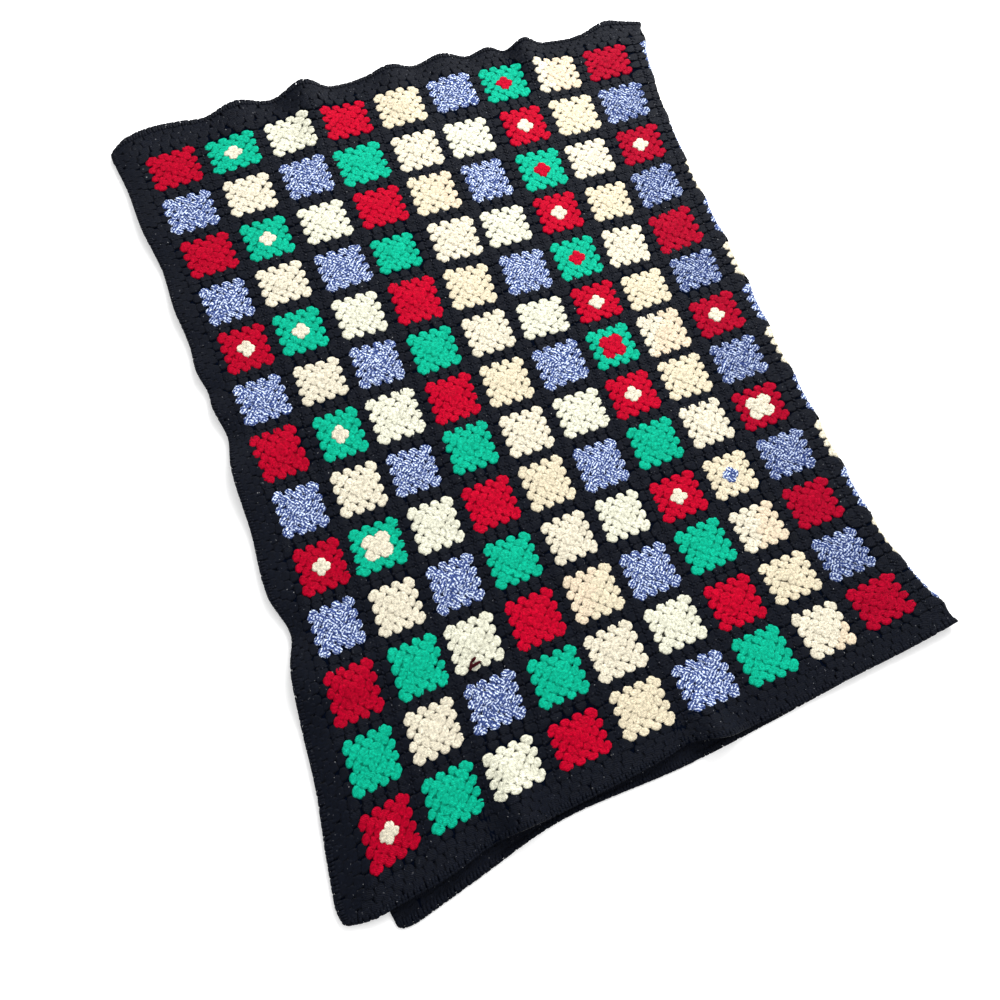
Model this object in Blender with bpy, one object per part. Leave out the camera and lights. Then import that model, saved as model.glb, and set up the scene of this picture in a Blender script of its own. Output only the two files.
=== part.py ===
"""A granny square blanket, folded once down its length and laid flat, as faceted solids.

Two pieces: the patchwork of joined squares, one soft folded sheet, and the edging worked in rounds
along its four sides, one folded ring. Metres, +Z up, +Y towards the far end, the fold on +X. The
origin is on the floor, under the middle of the blanket's box.

A place on the cloth is given as a column, 0 to 18 from the loose side of the top layer over the fold
to the loose side of the under layer, and a row, 0 to 13 from the far end to the near end. The edging
lies past 0 and past 18 or 13, as a share of its width from 0 to 1.
"""

from collections import namedtuple

import bpy
import numpy as np

# The squares, and how the cloth is made.
COLUMNS = 18
ROWS = 13
CLOTH_THICKNESS = 0.004
EDGING_WIDTH = 0.037
SEAM_GAP = 0.0003
LAYER_GAP = 0.002

# The solids' facets: cells across and along each stretch of cloth.
TOP_CELLS = 36
FOLD_CELLS = 6
UNDER_CELLS = 8
ROW_CELLS = 36
EDGING_CELLS = 2

# How the top layer lies: where columns 0, 3, 6 and 9 are, at five stations down the rows.
LIE_COLUMNS = (0.0, 3.0, 6.0, 9.0)
Station = namedtuple("Station", "row x0 x3 x6 x9 y0 y3 y6 y9")
TOP_LIE = (
    Station(0, -0.435, -0.125, 0.185, 0.505, 0.592, 0.617, 0.621, 0.604),
    Station(4, -0.430, -0.143, 0.153, 0.449, 0.243, 0.243, 0.235, 0.232),
    Station(8, -0.440, -0.167, 0.123, 0.427, -0.132, -0.130, -0.128, -0.131),
    Station(11, -0.468, -0.185, 0.116, 0.424, -0.416, -0.411, -0.407, -0.407),
    Station(13, -0.494, -0.200, 0.120, 0.453, -0.618, -0.590, -0.594, -0.586),
)

# Where the roll of the fold begins, as a column of the top layer.
FoldStation = namedtuple("FoldStation", "row column")
FOLD_LINE = (
    FoldStation(-0.4, 9.30),
    FoldStation(0.5, 9.17),
    FoldStation(1.5, 9.13),
    FoldStation(3.0, 9.17),
    FoldStation(5.5, 9.27),
    FoldStation(7.5, 9.23),
    FoldStation(10.0, 9.25),
    FoldStation(12.3, 9.19),
    FoldStation(13.4, 9.30),
)
FOLD_REACH = 0.008
FOLD_HEIGHT = 0.017
FOLD_RISE_COLUMNS = 1.3
FOLD_COLUMNS = 0.27

# How far the edging reaches past the squares, and how high it lifts, along each loose side.
Wave = namedtuple("Wave", "along reach lift")
FAR_EDGE = (
    Wave(-0.4, 0.024, 0.002),
    Wave(0.0, 0.044, 0.003),
    Wave(0.9, 0.043, 0.003),
    Wave(1.2, 0.037, 0.002),
    Wave(1.8, 0.045, 0.014),
    Wave(2.4, 0.034, 0.003),
    Wave(3.05, 0.039, 0.024),
    Wave(3.4, 0.033, 0.003),
    Wave(4.1, 0.032, 0.004),
    Wave(4.6, 0.037, 0.016),
    Wave(5.0, 0.033, 0.003),
    Wave(5.6, 0.038, 0.014),
    Wave(6.0, 0.028, 0.003),
    Wave(6.45, 0.031, 0.012),
    Wave(6.7, 0.023, 0.003),
    Wave(7.1, 0.030, 0.020),
    Wave(7.4, 0.029, 0.003),
    Wave(8.2, 0.029, 0.003),
    Wave(8.8, 0.046, 0.013),
    Wave(9.2, 0.037, 0.003),
)
NEAR_EDGE = (
    Wave(-0.4, 0.031, 0.002),
    Wave(0.4, 0.039, 0.004),
    Wave(1.2, 0.043, 0.006),
    Wave(1.95, 0.036, 0.002),
    Wave(2.35, 0.038, 0.024),
    Wave(2.8, 0.040, 0.006),
    Wave(3.6, 0.038, 0.005),
    Wave(4.5, 0.032, 0.004),
    Wave(4.95, 0.026, 0.002),
    Wave(5.35, 0.038, 0.024),
    Wave(5.75, 0.039, 0.006),
    Wave(7.5, 0.035, 0.004),
    Wave(9.2, 0.037, 0.003),
)
LEFT_EDGE = (
    Wave(-0.4, 0.040, 0.003),
    Wave(0.6, 0.033, 0.004),
    Wave(1.7, 0.035, 0.010),
    Wave(2.5, 0.029, 0.002),
    Wave(3.5, 0.034, 0.008),
    Wave(4.2, 0.031, 0.003),
    Wave(4.7, 0.035, 0.008),
    Wave(5.1, 0.029, 0.002),
    Wave(5.4, 0.031, 0.008),
    Wave(5.95, 0.024, 0.001),
    Wave(6.5, 0.034, 0.015),
    Wave(7.6, 0.035, 0.003),
    Wave(8.7, 0.037, 0.006),
    Wave(9.4, 0.020, 0.001),
    Wave(9.8, 0.031, 0.016),
    Wave(10.6, 0.036, 0.004),
    Wave(11.5, 0.036, 0.005),
    Wave(12.4, 0.042, 0.004),
    Wave(13.4, 0.046, 0.002),
)
LIFT_FADE = 0.09
CORNER_OVERLAP = 0.4
CORNER_ROUNDING = 0.12

# Past the under layer's edges the top layer comes down to the floor over this width.
DRAPE_WIDTH = 0.045
DRAPE_LEAD = 0.1

# Soft ridges away from the edges: middle, direction, half length, half width and height.
Ridge = namedtuple("Ridge", "column row degrees half_length half_width height")
RIDGES = (
    Ridge(1.8, 0.4, 85.0, 0.05, 0.024, 0.004),
    Ridge(2.95, 0.3, 80.0, 0.07, 0.026, 0.011),
    Ridge(4.6, 0.5, 95.0, 0.06, 0.024, 0.005),
    Ridge(5.6, 0.4, 90.0, 0.05, 0.024, 0.004),
    Ridge(7.1, 0.3, 95.0, 0.05, 0.024, 0.008),
    Ridge(8.8, 0.5, 90.0, 0.05, 0.024, 0.004),
    Ridge(0.4, 6.5, 10.0, 0.08, 0.028, 0.004),
    Ridge(0.4, 10.3, 5.0, 0.08, 0.030, 0.005),
    Ridge(2.0, 5.5, 60.0, 0.09, 0.035, 0.005),
    Ridge(4.1, 3.6, 35.0, 0.16, 0.050, 0.004),
    Ridge(6.6, 7.6, 110.0, 0.18, 0.050, 0.004),
    Ridge(3.1, 9.4, 70.0, 0.15, 0.050, 0.004),
    Ridge(7.4, 11.2, 20.0, 0.14, 0.050, 0.003),
    Ridge(2.35, 12.9, 85.0, 0.07, 0.028, 0.013),
    Ridge(5.35, 13.2, 100.0, 0.05, 0.026, 0.011),
)

# The under layer lies flat: its loose side, and how far its near edging reaches.
UnderStation = namedtuple("UnderStation", "row x18 y18")
UNDER_LIE = (
    UnderStation(0, -0.395, 0.590),
    UnderStation(13, -0.440, -0.622),
)
UNDER_LEFT_REACH = 0.036
UNDER_NEAR_EDGE = (
    Wave(9.2, 0.037, 0.0),
    Wave(14.0, 0.042, 0.0),
    Wave(16.0, 0.024, 0.0),
    Wave(17.2, 0.045, 0.0),
    Wave(18.4, 0.062, 0.0),
)

# The middle of the blanket's box, in the plan that the tables above are measured in.
CENTRE = (0.003, -0.012)

BLACK_YARN = (0.012, 0.012, 0.018, 1.0)
PATCHWORK_YARN = (0.35, 0.30, 0.28, 1.0)
YARN_ROUGHNESS = 0.9
SHARP_ANGLE = 0.6
NORMAL_STEP = 0.05


def smooth_line(stations, values, at):
    """Values along a smooth line through a short table's stations (a cubic with even slopes)."""
    stations = np.asarray(stations, float)
    values = np.asarray(values, float)
    at = np.asarray(at, float)
    steps = np.diff(stations)
    rises = np.diff(values) / steps
    slopes = np.concatenate(
        [
            rises[:1],
            (rises[:-1] * steps[1:] + rises[1:] * steps[:-1]) / (steps[:-1] + steps[1:]),
            rises[-1:],
        ]
    )
    k = np.clip(np.searchsorted(stations, at) - 1, 0, len(steps) - 1)
    h = steps[k]
    w = np.clip((at - stations[k]) / h, 0.0, 1.0)
    outside = (at - stations[k]) / h - w
    inner = (
        values[k] * (1 + 2 * w) * (1 - w) ** 2
        + slopes[k] * h * w * (1 - w) ** 2
        + values[k + 1] * w * w * (3 - 2 * w)
        + slopes[k + 1] * h * w * w * (w - 1)
    )
    end_slope = np.where(outside < 0, slopes[k], slopes[k + 1])
    return inner + outside * h * end_slope


def wave(edge, along):
    """The reach and lift of an edge at places along it."""
    places = [w.along for w in edge]
    reach = smooth_line(places, [w.reach for w in edge], along)
    lift = smooth_line(places, [w.lift for w in edge], along)
    return reach, np.maximum(lift, 0.0)


def across(values, column):
    """A value at any column, from its values at the four table columns (a cubic through them)."""
    total = 0.0
    for i, here in enumerate(LIE_COLUMNS):
        share = 1.0
        for j, other in enumerate(LIE_COLUMNS):
            if i != j:
                share = share * (column - other) / (here - other)
        total = total + share * values[i]
    return total


def soft_step(x):
    x = np.clip(x, 0.0, 1.0)
    return x * x * (3 - 2 * x)


def lie(column, row):
    """Where a place of the top layer's squares lies, seen from above."""
    rows = [s.row for s in TOP_LIE]
    xs = [smooth_line(rows, [getattr(s, n) for s in TOP_LIE], row) for n in ("x0", "x3", "x6", "x9")]
    ys = [smooth_line(rows, [getattr(s, n) for s in TOP_LIE], row) for n in ("y0", "y3", "y6", "y9")]
    return across(xs, column), across(ys, column)


def under_outline(row):
    """The under layer's loose side, seen from above: the outer line of its edging."""
    rows = [s.row for s in UNDER_LIE]
    x18 = np.interp(row, rows, [s.x18 for s in UNDER_LIE])
    y18 = np.interp(row, rows, [s.y18 for s in UNDER_LIE])
    return x18, y18


def resting_height(x, y, row):
    """The top layer's middle surface: over the under layer, or down on the floor past its edges."""
    x18, _ = under_outline(row)
    _, far_y = under_outline(0.0)
    past_left = soft_step((x - (x18 - UNDER_LEFT_REACH - DRAPE_WIDTH)) / DRAPE_WIDTH + DRAPE_LEAD)
    past_far = soft_step((far_y + EDGING_WIDTH + DRAPE_WIDTH - y) / DRAPE_WIDTH + DRAPE_LEAD)
    low = CLOTH_THICKNESS / 2
    high = low + CLOTH_THICKNESS + LAYER_GAP
    return low + (high - low) * past_left * past_far


def ridge_height(x, y):
    """The height that the soft ridges add at a place seen from above."""
    total = np.zeros_like(x)
    for ridge in RIDGES:
        middle_x, middle_y = lie(ridge.column, ridge.row)
        turn = np.radians(ridge.degrees)
        along = (x - middle_x) * np.cos(turn) + (y - middle_y) * np.sin(turn)
        beside = (y - middle_y) * np.cos(turn) - (x - middle_x) * np.sin(turn)
        fall = (along / ridge.half_length) ** 2 + (beside / ridge.half_width) ** 2
        total = total + ridge.height * np.exp(-fall)
    return total


def top_layer(column, row, left, far, near):
    """A place on the top layer. left, far and near are shares of the edging's width, 0 to 1."""
    x, y = lie(column, row)
    along_row = row - CORNER_OVERLAP * far + CORNER_OVERLAP * near
    along_column = column - CORNER_OVERLAP * left
    left_reach, left_lift = wave(LEFT_EDGE, along_row)
    far_reach, far_lift = wave(FAR_EDGE, along_column)
    near_reach, near_lift = wave(NEAR_EDGE, along_column)
    row_pitch = (TOP_LIE[0].y6 - TOP_LIE[-1].y6) / ROWS
    column_pitch = (TOP_LIE[0].x9 - TOP_LIE[0].x0) / LIE_COLUMNS[-1]
    from_left = left_reach * (1 - left) + column * column_pitch
    from_far = far_reach * (1 - far) + row * row_pitch
    from_near = near_reach * (1 - near) + (ROWS - row) * row_pitch
    lift = (
        left_lift * np.clip(1 - from_left / LIFT_FADE, 0, 1) ** 2
        + far_lift * np.clip(1 - from_far / LIFT_FADE, 0, 1) ** 2
        + near_lift * np.clip(1 - from_near / LIFT_FADE, 0, 1) ** 2
    )
    rounding = 1 - CORNER_ROUNDING * (left * np.maximum(far, near)) ** 2
    x = x - left_reach * left * rounding
    y = y + (far_reach * far - near_reach * near) * rounding
    z = resting_height(x, y, row) + ridge_height(x, y) + lift
    return x, y, z


def fold_start(row):
    """The column at which the roll of the fold begins, at any row."""
    return smooth_line([s.row for s in FOLD_LINE], [s.column for s in FOLD_LINE], row)


def place(column, row):
    """Where a place on the cloth's middle surface lies, for any column and row, edging included."""
    column = np.asarray(column, float)
    row = np.asarray(row, float)
    left = np.clip(-column, 0, 1)
    loose = np.clip(column - COLUMNS, 0, 1)
    far = np.clip(-row, 0, 1)
    near = np.clip(row - ROWS, 0, 1)
    column = np.clip(column, 0, COLUMNS)
    row = np.clip(row, 0, ROWS)

    start = fold_start(row + CORNER_OVERLAP * (near - far))
    top_column = np.minimum(column, start)
    x, y, z = top_layer(top_column, row, left, far, near)
    rise = soft_step((top_column - start) / FOLD_RISE_COLUMNS + 1)
    z = z + rise * np.maximum(FOLD_HEIGHT - z, 0)

    low = CLOTH_THICKNESS / 2
    half_height = (z - low) / 2
    half_round = np.pi * np.sqrt((FOLD_REACH**2 + half_height**2) / 2)
    column_pitch = (TOP_LIE[2].x9 - TOP_LIE[2].x6) / (LIE_COLUMNS[3] - LIE_COLUMNS[2])
    fold_columns = half_round / column_pitch
    turn = np.pi * np.clip((column - start) / fold_columns, 0, 1)
    folded = column > start
    fold_x = x + FOLD_REACH * np.sin(turn)
    fold_z = low + half_height * (1 + np.cos(turn))

    share = np.clip((column - start - fold_columns) / (COLUMNS - start - fold_columns), 0, 1)
    x18, y18 = under_outline(row)
    under_reach, _ = wave(UNDER_NEAR_EDGE, np.maximum(column, start) + CORNER_OVERLAP * loose)
    rounding = 1 - CORNER_ROUNDING * (loose * np.maximum(far, near)) ** 2
    under_y = y + share * (y18 + (EDGING_WIDTH * far - under_reach * near) * rounding - y)
    under_x = fold_x + share * (x18 - fold_x) - UNDER_LEFT_REACH * loose * rounding
    x = np.where(folded, under_x, x)
    y = np.where(folded, under_y, y)
    z = np.where(folded, fold_z, z)
    return np.stack([x - CENTRE[0], y - CENTRE[1], z], -1)


def outward(column, row):
    """The direction in which the cloth's right side faces, at places on it."""
    step = NORMAL_STEP
    across_cloth = place(column + step, row) - place(column - step, row)
    down_cloth = place(column, row + step) - place(column, row - step)
    normal = np.cross(down_cloth, across_cloth)
    return normal / np.linalg.norm(normal, axis=-1, keepdims=True)


def patchwork_stations():
    """Columns and rows of the squares' facets."""
    start = float(fold_start(ROWS / 2))
    end = start + FOLD_COLUMNS
    columns = np.concatenate(
        [
            np.linspace(0, start, TOP_CELLS + 1),
            np.linspace(start, end, FOLD_CELLS + 1)[1:],
            np.linspace(end, COLUMNS, UNDER_CELLS + 1)[1:],
        ]
    )
    return columns, np.linspace(0, ROWS, ROW_CELLS + 1)


def with_edging(inner, last):
    """The same stations with the edging's before the first and after the last, a seam's gap away."""
    shares = np.linspace(SEAM_GAP / EDGING_WIDTH, 1, EDGING_CELLS + 1)
    return np.concatenate([-shares[::-1], inner[1:-1], last + shares])


def cloth_solid(name, columns, rows, kept, material):
    """A sheet of the cloth's thickness over the kept cells of a grid of stations, one closed solid."""
    column, row = np.meshgrid(columns, rows, indexing="ij")
    middle = place(column, row).reshape(-1, 3)
    offset = outward(column, row).reshape(-1, 3) * CLOTH_THICKNESS / 2
    used = sorted({corner for cell in kept for corner in cell_corners(cell, len(rows))})
    upper = {corner: k for k, corner in enumerate(used)}
    lower = {corner: k + len(used) for k, corner in enumerate(used)}
    points = [middle[k] + offset[k] for k in used] + [middle[k] - offset[k] for k in used]

    faces = []
    sides = {}
    for cell in kept:
        loop = cell_corners(cell, len(rows))
        faces.append([upper[k] for k in loop])
        faces.append([lower[k] for k in reversed(loop)])
        for start, end in zip(loop, loop[1:] + loop[:1]):
            if (end, start) in sides:
                del sides[(end, start)]
            else:
                sides[(start, end)] = True
    # The rim is split the same way on both sides of a seam, so that the two pieces stay clear there.
    for start, end in sides:
        if start < end:
            faces.append([upper[end], upper[start], lower[end]])
            faces.append([upper[start], lower[start], lower[end]])
        else:
            faces.append([upper[end], upper[start], lower[start]])
            faces.append([upper[end], lower[start], lower[end]])

    data = bpy.data.meshes.new(name)
    data.from_pydata([tuple(p) for p in points], [], faces)
    data.materials.append(material)
    data.shade_smooth()
    data.set_sharp_from_angle(angle=SHARP_ANGLE)
    cloth = bpy.data.objects.new(name, data)
    bpy.context.scene.collection.objects.link(cloth)
    return cloth


def cell_corners(cell, row_count):
    """The four corners of a cell, in the order that makes its upper face point outwards."""
    i, j = cell
    return [
        i * row_count + j,
        i * row_count + j + 1,
        (i + 1) * row_count + j + 1,
        (i + 1) * row_count + j,
    ]


def yarn(name, colour):
    material = bpy.data.materials.new(name)
    material.use_nodes = True
    shader = material.node_tree.nodes["Principled BSDF"]
    shader.inputs["Base Color"].default_value = colour
    shader.inputs["Roughness"].default_value = YARN_ROUGHNESS
    shader.inputs["Metallic"].default_value = 0.0
    return material


def make_patchwork():
    columns, rows = patchwork_stations()
    cells = [(i, j) for i in range(len(columns) - 1) for j in range(len(rows) - 1)]
    return cloth_solid("patchwork", columns, rows, cells, yarn("patchwork_yarn", PATCHWORK_YARN))


def make_edging():
    columns, rows = patchwork_stations()
    columns = with_edging(columns, COLUMNS)
    rows = with_edging(rows, ROWS)
    across_last = len(columns) - 1 - EDGING_CELLS
    down_last = len(rows) - 1 - EDGING_CELLS
    cells = [
        (i, j)
        for i in range(len(columns) - 1)
        for j in range(len(rows) - 1)
        if not (EDGING_CELLS <= i < across_last and EDGING_CELLS <= j < down_last)
    ]
    return cloth_solid("edging", columns, rows, cells, yarn("black_yarn", BLACK_YARN))


def main():
    for item in list(bpy.data.objects):
        bpy.data.objects.remove(item, do_unlink=True)
    make_patchwork()
    make_edging()


main()
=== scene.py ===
"""The looks of a granny square blanket that lies folded once down its length.

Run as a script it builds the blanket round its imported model: a thin core of cloth, the coloured
clusters of every square, their black rounds, the joins, the edging and one stray end of yarn, then
the stage. Each of these is an operator, listed in the sidebar.

A place on the cloth is a column, 0 to 18 from the loose side of the top layer over the fold to the
loose side of the under layer, and a row, 0 to 13 from the far end to the near end. The edging lies
past 0 and past 18 or 13, as a share of its width from 0 to 1. Stitches are laid out in rounds: one
round is a tenth of a square, or a quarter of the edging's width.
"""

from collections import namedtuple
from math import pi, radians

import bpy
import numpy as np
from bpy.props import FloatProperty, FloatVectorProperty, IntProperty, PointerProperty
from mathutils import Matrix, Vector


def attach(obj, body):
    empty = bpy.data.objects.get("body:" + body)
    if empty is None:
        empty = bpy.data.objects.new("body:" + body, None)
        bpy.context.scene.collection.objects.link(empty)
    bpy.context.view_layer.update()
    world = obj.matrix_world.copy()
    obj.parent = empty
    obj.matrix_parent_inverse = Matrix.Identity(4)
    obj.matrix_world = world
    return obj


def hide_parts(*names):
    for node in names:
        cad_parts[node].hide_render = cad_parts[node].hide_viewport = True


bl_info = {
    "name": "Granny square blanket",
    "version": (1, 0, 0),
    "blender": (4, 5, 0),
    "location": "View3D > Sidebar > Blanket",
    "description": "Builds the yarn of a folded granny square blanket round its packed model",
    "category": "Object",
}

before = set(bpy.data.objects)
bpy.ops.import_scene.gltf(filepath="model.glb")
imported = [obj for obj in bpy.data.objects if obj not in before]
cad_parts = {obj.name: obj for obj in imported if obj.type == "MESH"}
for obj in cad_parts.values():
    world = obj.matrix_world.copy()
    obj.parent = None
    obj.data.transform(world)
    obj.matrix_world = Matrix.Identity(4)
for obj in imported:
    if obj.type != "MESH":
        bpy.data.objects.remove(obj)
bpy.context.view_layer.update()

BODY = "root"

# ---------------------------------------------------------------------------------------------
# How the cloth lies
# ---------------------------------------------------------------------------------------------

COLUMNS = 18
ROWS = 13
CLOTH_THICKNESS = 0.004
EDGING_WIDTH = 0.037
LAYER_GAP = 0.002

LIE_COLUMNS = (0.0, 3.0, 6.0, 9.0)
Station = namedtuple("Station", "row x0 x3 x6 x9 y0 y3 y6 y9")
TOP_LIE = (
    Station(0, -0.435, -0.125, 0.185, 0.505, 0.592, 0.617, 0.621, 0.604),
    Station(4, -0.430, -0.143, 0.153, 0.449, 0.243, 0.243, 0.235, 0.232),
    Station(8, -0.440, -0.167, 0.123, 0.427, -0.132, -0.130, -0.128, -0.131),
    Station(11, -0.468, -0.185, 0.116, 0.424, -0.416, -0.411, -0.407, -0.407),
    Station(13, -0.494, -0.200, 0.120, 0.453, -0.618, -0.590, -0.594, -0.586),
)

# Where the roll of the fold begins, as a column of the top layer.
FoldStation = namedtuple("FoldStation", "row column")
FOLD_LINE = (
    FoldStation(-0.4, 9.30),
    FoldStation(0.5, 9.17),
    FoldStation(1.5, 9.13),
    FoldStation(3.0, 9.17),
    FoldStation(5.5, 9.27),
    FoldStation(7.5, 9.23),
    FoldStation(10.0, 9.25),
    FoldStation(12.3, 9.19),
    FoldStation(13.4, 9.30),
)
FOLD_REACH = 0.008
FOLD_HEIGHT = 0.017
FOLD_RISE_COLUMNS = 1.3

# How far the edging reaches past the squares, and how high it lifts, along each loose side.
Wave = namedtuple("Wave", "along reach lift")
FAR_EDGE = (
    Wave(-0.4, 0.024, 0.002),
    Wave(0.0, 0.044, 0.003),
    Wave(0.9, 0.043, 0.003),
    Wave(1.2, 0.037, 0.002),
    Wave(1.8, 0.045, 0.014),
    Wave(2.4, 0.034, 0.003),
    Wave(3.05, 0.039, 0.024),
    Wave(3.4, 0.033, 0.003),
    Wave(4.1, 0.032, 0.004),
    Wave(4.6, 0.037, 0.016),
    Wave(5.0, 0.033, 0.003),
    Wave(5.6, 0.038, 0.014),
    Wave(6.0, 0.028, 0.003),
    Wave(6.45, 0.031, 0.012),
    Wave(6.7, 0.023, 0.003),
    Wave(7.1, 0.030, 0.020),
    Wave(7.4, 0.029, 0.003),
    Wave(8.2, 0.029, 0.003),
    Wave(8.8, 0.046, 0.013),
    Wave(9.2, 0.037, 0.003),
)
NEAR_EDGE = (
    Wave(-0.4, 0.031, 0.002),
    Wave(0.4, 0.039, 0.004),
    Wave(1.2, 0.043, 0.006),
    Wave(1.95, 0.036, 0.002),
    Wave(2.35, 0.038, 0.024),
    Wave(2.8, 0.040, 0.006),
    Wave(3.6, 0.038, 0.005),
    Wave(4.5, 0.032, 0.004),
    Wave(4.95, 0.026, 0.002),
    Wave(5.35, 0.038, 0.024),
    Wave(5.75, 0.039, 0.006),
    Wave(7.5, 0.035, 0.004),
    Wave(9.2, 0.037, 0.003),
)
LEFT_EDGE = (
    Wave(-0.4, 0.040, 0.003),
    Wave(0.6, 0.033, 0.004),
    Wave(1.7, 0.035, 0.010),
    Wave(2.5, 0.029, 0.002),
    Wave(3.5, 0.034, 0.008),
    Wave(4.2, 0.031, 0.003),
    Wave(4.7, 0.035, 0.008),
    Wave(5.1, 0.029, 0.002),
    Wave(5.4, 0.031, 0.008),
    Wave(5.95, 0.024, 0.001),
    Wave(6.5, 0.034, 0.015),
    Wave(7.6, 0.035, 0.003),
    Wave(8.7, 0.037, 0.006),
    Wave(9.4, 0.020, 0.001),
    Wave(9.8, 0.031, 0.016),
    Wave(10.6, 0.036, 0.004),
    Wave(11.5, 0.036, 0.005),
    Wave(12.4, 0.042, 0.004),
    Wave(13.4, 0.046, 0.002),
)
LIFT_FADE = 0.09
CORNER_OVERLAP = 0.4
CORNER_ROUNDING = 0.12

# Past the under layer's edges the top layer comes down to the floor over this width.
DRAPE_WIDTH = 0.045
DRAPE_LEAD = 0.1

# Soft ridges away from the edges: middle, direction, half length, half width and height.
Ridge = namedtuple("Ridge", "column row degrees half_length half_width height")
RIDGES = (
    Ridge(1.8, 0.4, 85.0, 0.05, 0.024, 0.004),
    Ridge(2.95, 0.3, 80.0, 0.07, 0.026, 0.011),
    Ridge(4.6, 0.5, 95.0, 0.06, 0.024, 0.005),
    Ridge(5.6, 0.4, 90.0, 0.05, 0.024, 0.004),
    Ridge(7.1, 0.3, 95.0, 0.05, 0.024, 0.008),
    Ridge(8.8, 0.5, 90.0, 0.05, 0.024, 0.004),
    Ridge(0.4, 6.5, 10.0, 0.08, 0.028, 0.004),
    Ridge(0.4, 10.3, 5.0, 0.08, 0.030, 0.005),
    Ridge(2.0, 5.5, 60.0, 0.09, 0.035, 0.005),
    Ridge(4.1, 3.6, 35.0, 0.16, 0.050, 0.004),
    Ridge(6.6, 7.6, 110.0, 0.18, 0.050, 0.004),
    Ridge(3.1, 9.4, 70.0, 0.15, 0.050, 0.004),
    Ridge(7.4, 11.2, 20.0, 0.14, 0.050, 0.003),
    Ridge(2.35, 12.9, 85.0, 0.07, 0.028, 0.013),
    Ridge(5.35, 13.2, 100.0, 0.05, 0.026, 0.011),
)

# The under layer lies flat: its loose side, and how far its near edging reaches.
UnderStation = namedtuple("UnderStation", "row x18 y18")
UNDER_LIE = (
    UnderStation(0, -0.395, 0.590),
    UnderStation(13, -0.440, -0.622),
)
UNDER_LEFT_REACH = 0.036
UNDER_NEAR_EDGE = (
    Wave(9.2, 0.037, 0.0),
    Wave(14.0, 0.042, 0.0),
    Wave(16.0, 0.024, 0.0),
    Wave(17.2, 0.045, 0.0),
    Wave(18.4, 0.062, 0.0),
)

# The middle of the blanket's box, in the plan that the tables above are measured in.
CENTRE = (0.003, -0.012)
NORMAL_STEP = 0.05


def smooth_line(stations, values, at):
    """Values along a smooth line through a short table's stations (a cubic with even slopes)."""
    stations = np.asarray(stations, float)
    values = np.asarray(values, float)
    at = np.asarray(at, float)
    steps = np.diff(stations)
    rises = np.diff(values) / steps
    slopes = np.concatenate(
        [
            rises[:1],
            (rises[:-1] * steps[1:] + rises[1:] * steps[:-1]) / (steps[:-1] + steps[1:]),
            rises[-1:],
        ]
    )
    k = np.clip(np.searchsorted(stations, at) - 1, 0, len(steps) - 1)
    h = steps[k]
    w = np.clip((at - stations[k]) / h, 0.0, 1.0)
    outside = (at - stations[k]) / h - w
    inner = (
        values[k] * (1 + 2 * w) * (1 - w) ** 2
        + slopes[k] * h * w * (1 - w) ** 2
        + values[k + 1] * w * w * (3 - 2 * w)
        + slopes[k + 1] * h * w * w * (w - 1)
    )
    end_slope = np.where(outside < 0, slopes[k], slopes[k + 1])
    return inner + outside * h * end_slope


def wave(edge, along):
    """The reach and lift of an edge at places along it."""
    places = [w.along for w in edge]
    reach = smooth_line(places, [w.reach for w in edge], along)
    lift = smooth_line(places, [w.lift for w in edge], along)
    return reach, np.maximum(lift, 0.0)


def across(values, column):
    """A value at any column, from its values at the four table columns (a cubic through them)."""
    total = 0.0
    for i, here in enumerate(LIE_COLUMNS):
        share = 1.0
        for j, other in enumerate(LIE_COLUMNS):
            if i != j:
                share = share * (column - other) / (here - other)
        total = total + share * values[i]
    return total


def soft_step(x):
    x = np.clip(x, 0.0, 1.0)
    return x * x * (3 - 2 * x)


def lie(column, row):
    """Where a place of the top layer's squares lies, seen from above."""
    rows = [s.row for s in TOP_LIE]
    xs = [smooth_line(rows, [getattr(s, n) for s in TOP_LIE], row) for n in ("x0", "x3", "x6", "x9")]
    ys = [smooth_line(rows, [getattr(s, n) for s in TOP_LIE], row) for n in ("y0", "y3", "y6", "y9")]
    return across(xs, column), across(ys, column)


def under_outline(row):
    """The under layer's loose side, seen from above: the outer line of its edging."""
    rows = [s.row for s in UNDER_LIE]
    x18 = np.interp(row, rows, [s.x18 for s in UNDER_LIE])
    y18 = np.interp(row, rows, [s.y18 for s in UNDER_LIE])
    return x18, y18


def resting_height(x, y, row):
    """The top layer's middle surface: over the under layer, or down on the floor past its edges."""
    x18, _ = under_outline(row)
    _, far_y = under_outline(0.0)
    past_left = soft_step((x - (x18 - UNDER_LEFT_REACH - DRAPE_WIDTH)) / DRAPE_WIDTH + DRAPE_LEAD)
    past_far = soft_step((far_y + EDGING_WIDTH + DRAPE_WIDTH - y) / DRAPE_WIDTH + DRAPE_LEAD)
    low = CLOTH_THICKNESS / 2
    high = low + CLOTH_THICKNESS + LAYER_GAP
    return low + (high - low) * past_left * past_far


def ridge_height(x, y):
    """The height that the soft ridges add at a place seen from above."""
    total = np.zeros_like(x)
    for ridge in RIDGES:
        middle_x, middle_y = lie(ridge.column, ridge.row)
        turn = np.radians(ridge.degrees)
        along = (x - middle_x) * np.cos(turn) + (y - middle_y) * np.sin(turn)
        beside = (y - middle_y) * np.cos(turn) - (x - middle_x) * np.sin(turn)
        fall = (along / ridge.half_length) ** 2 + (beside / ridge.half_width) ** 2
        total = total + ridge.height * np.exp(-fall)
    return total


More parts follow.
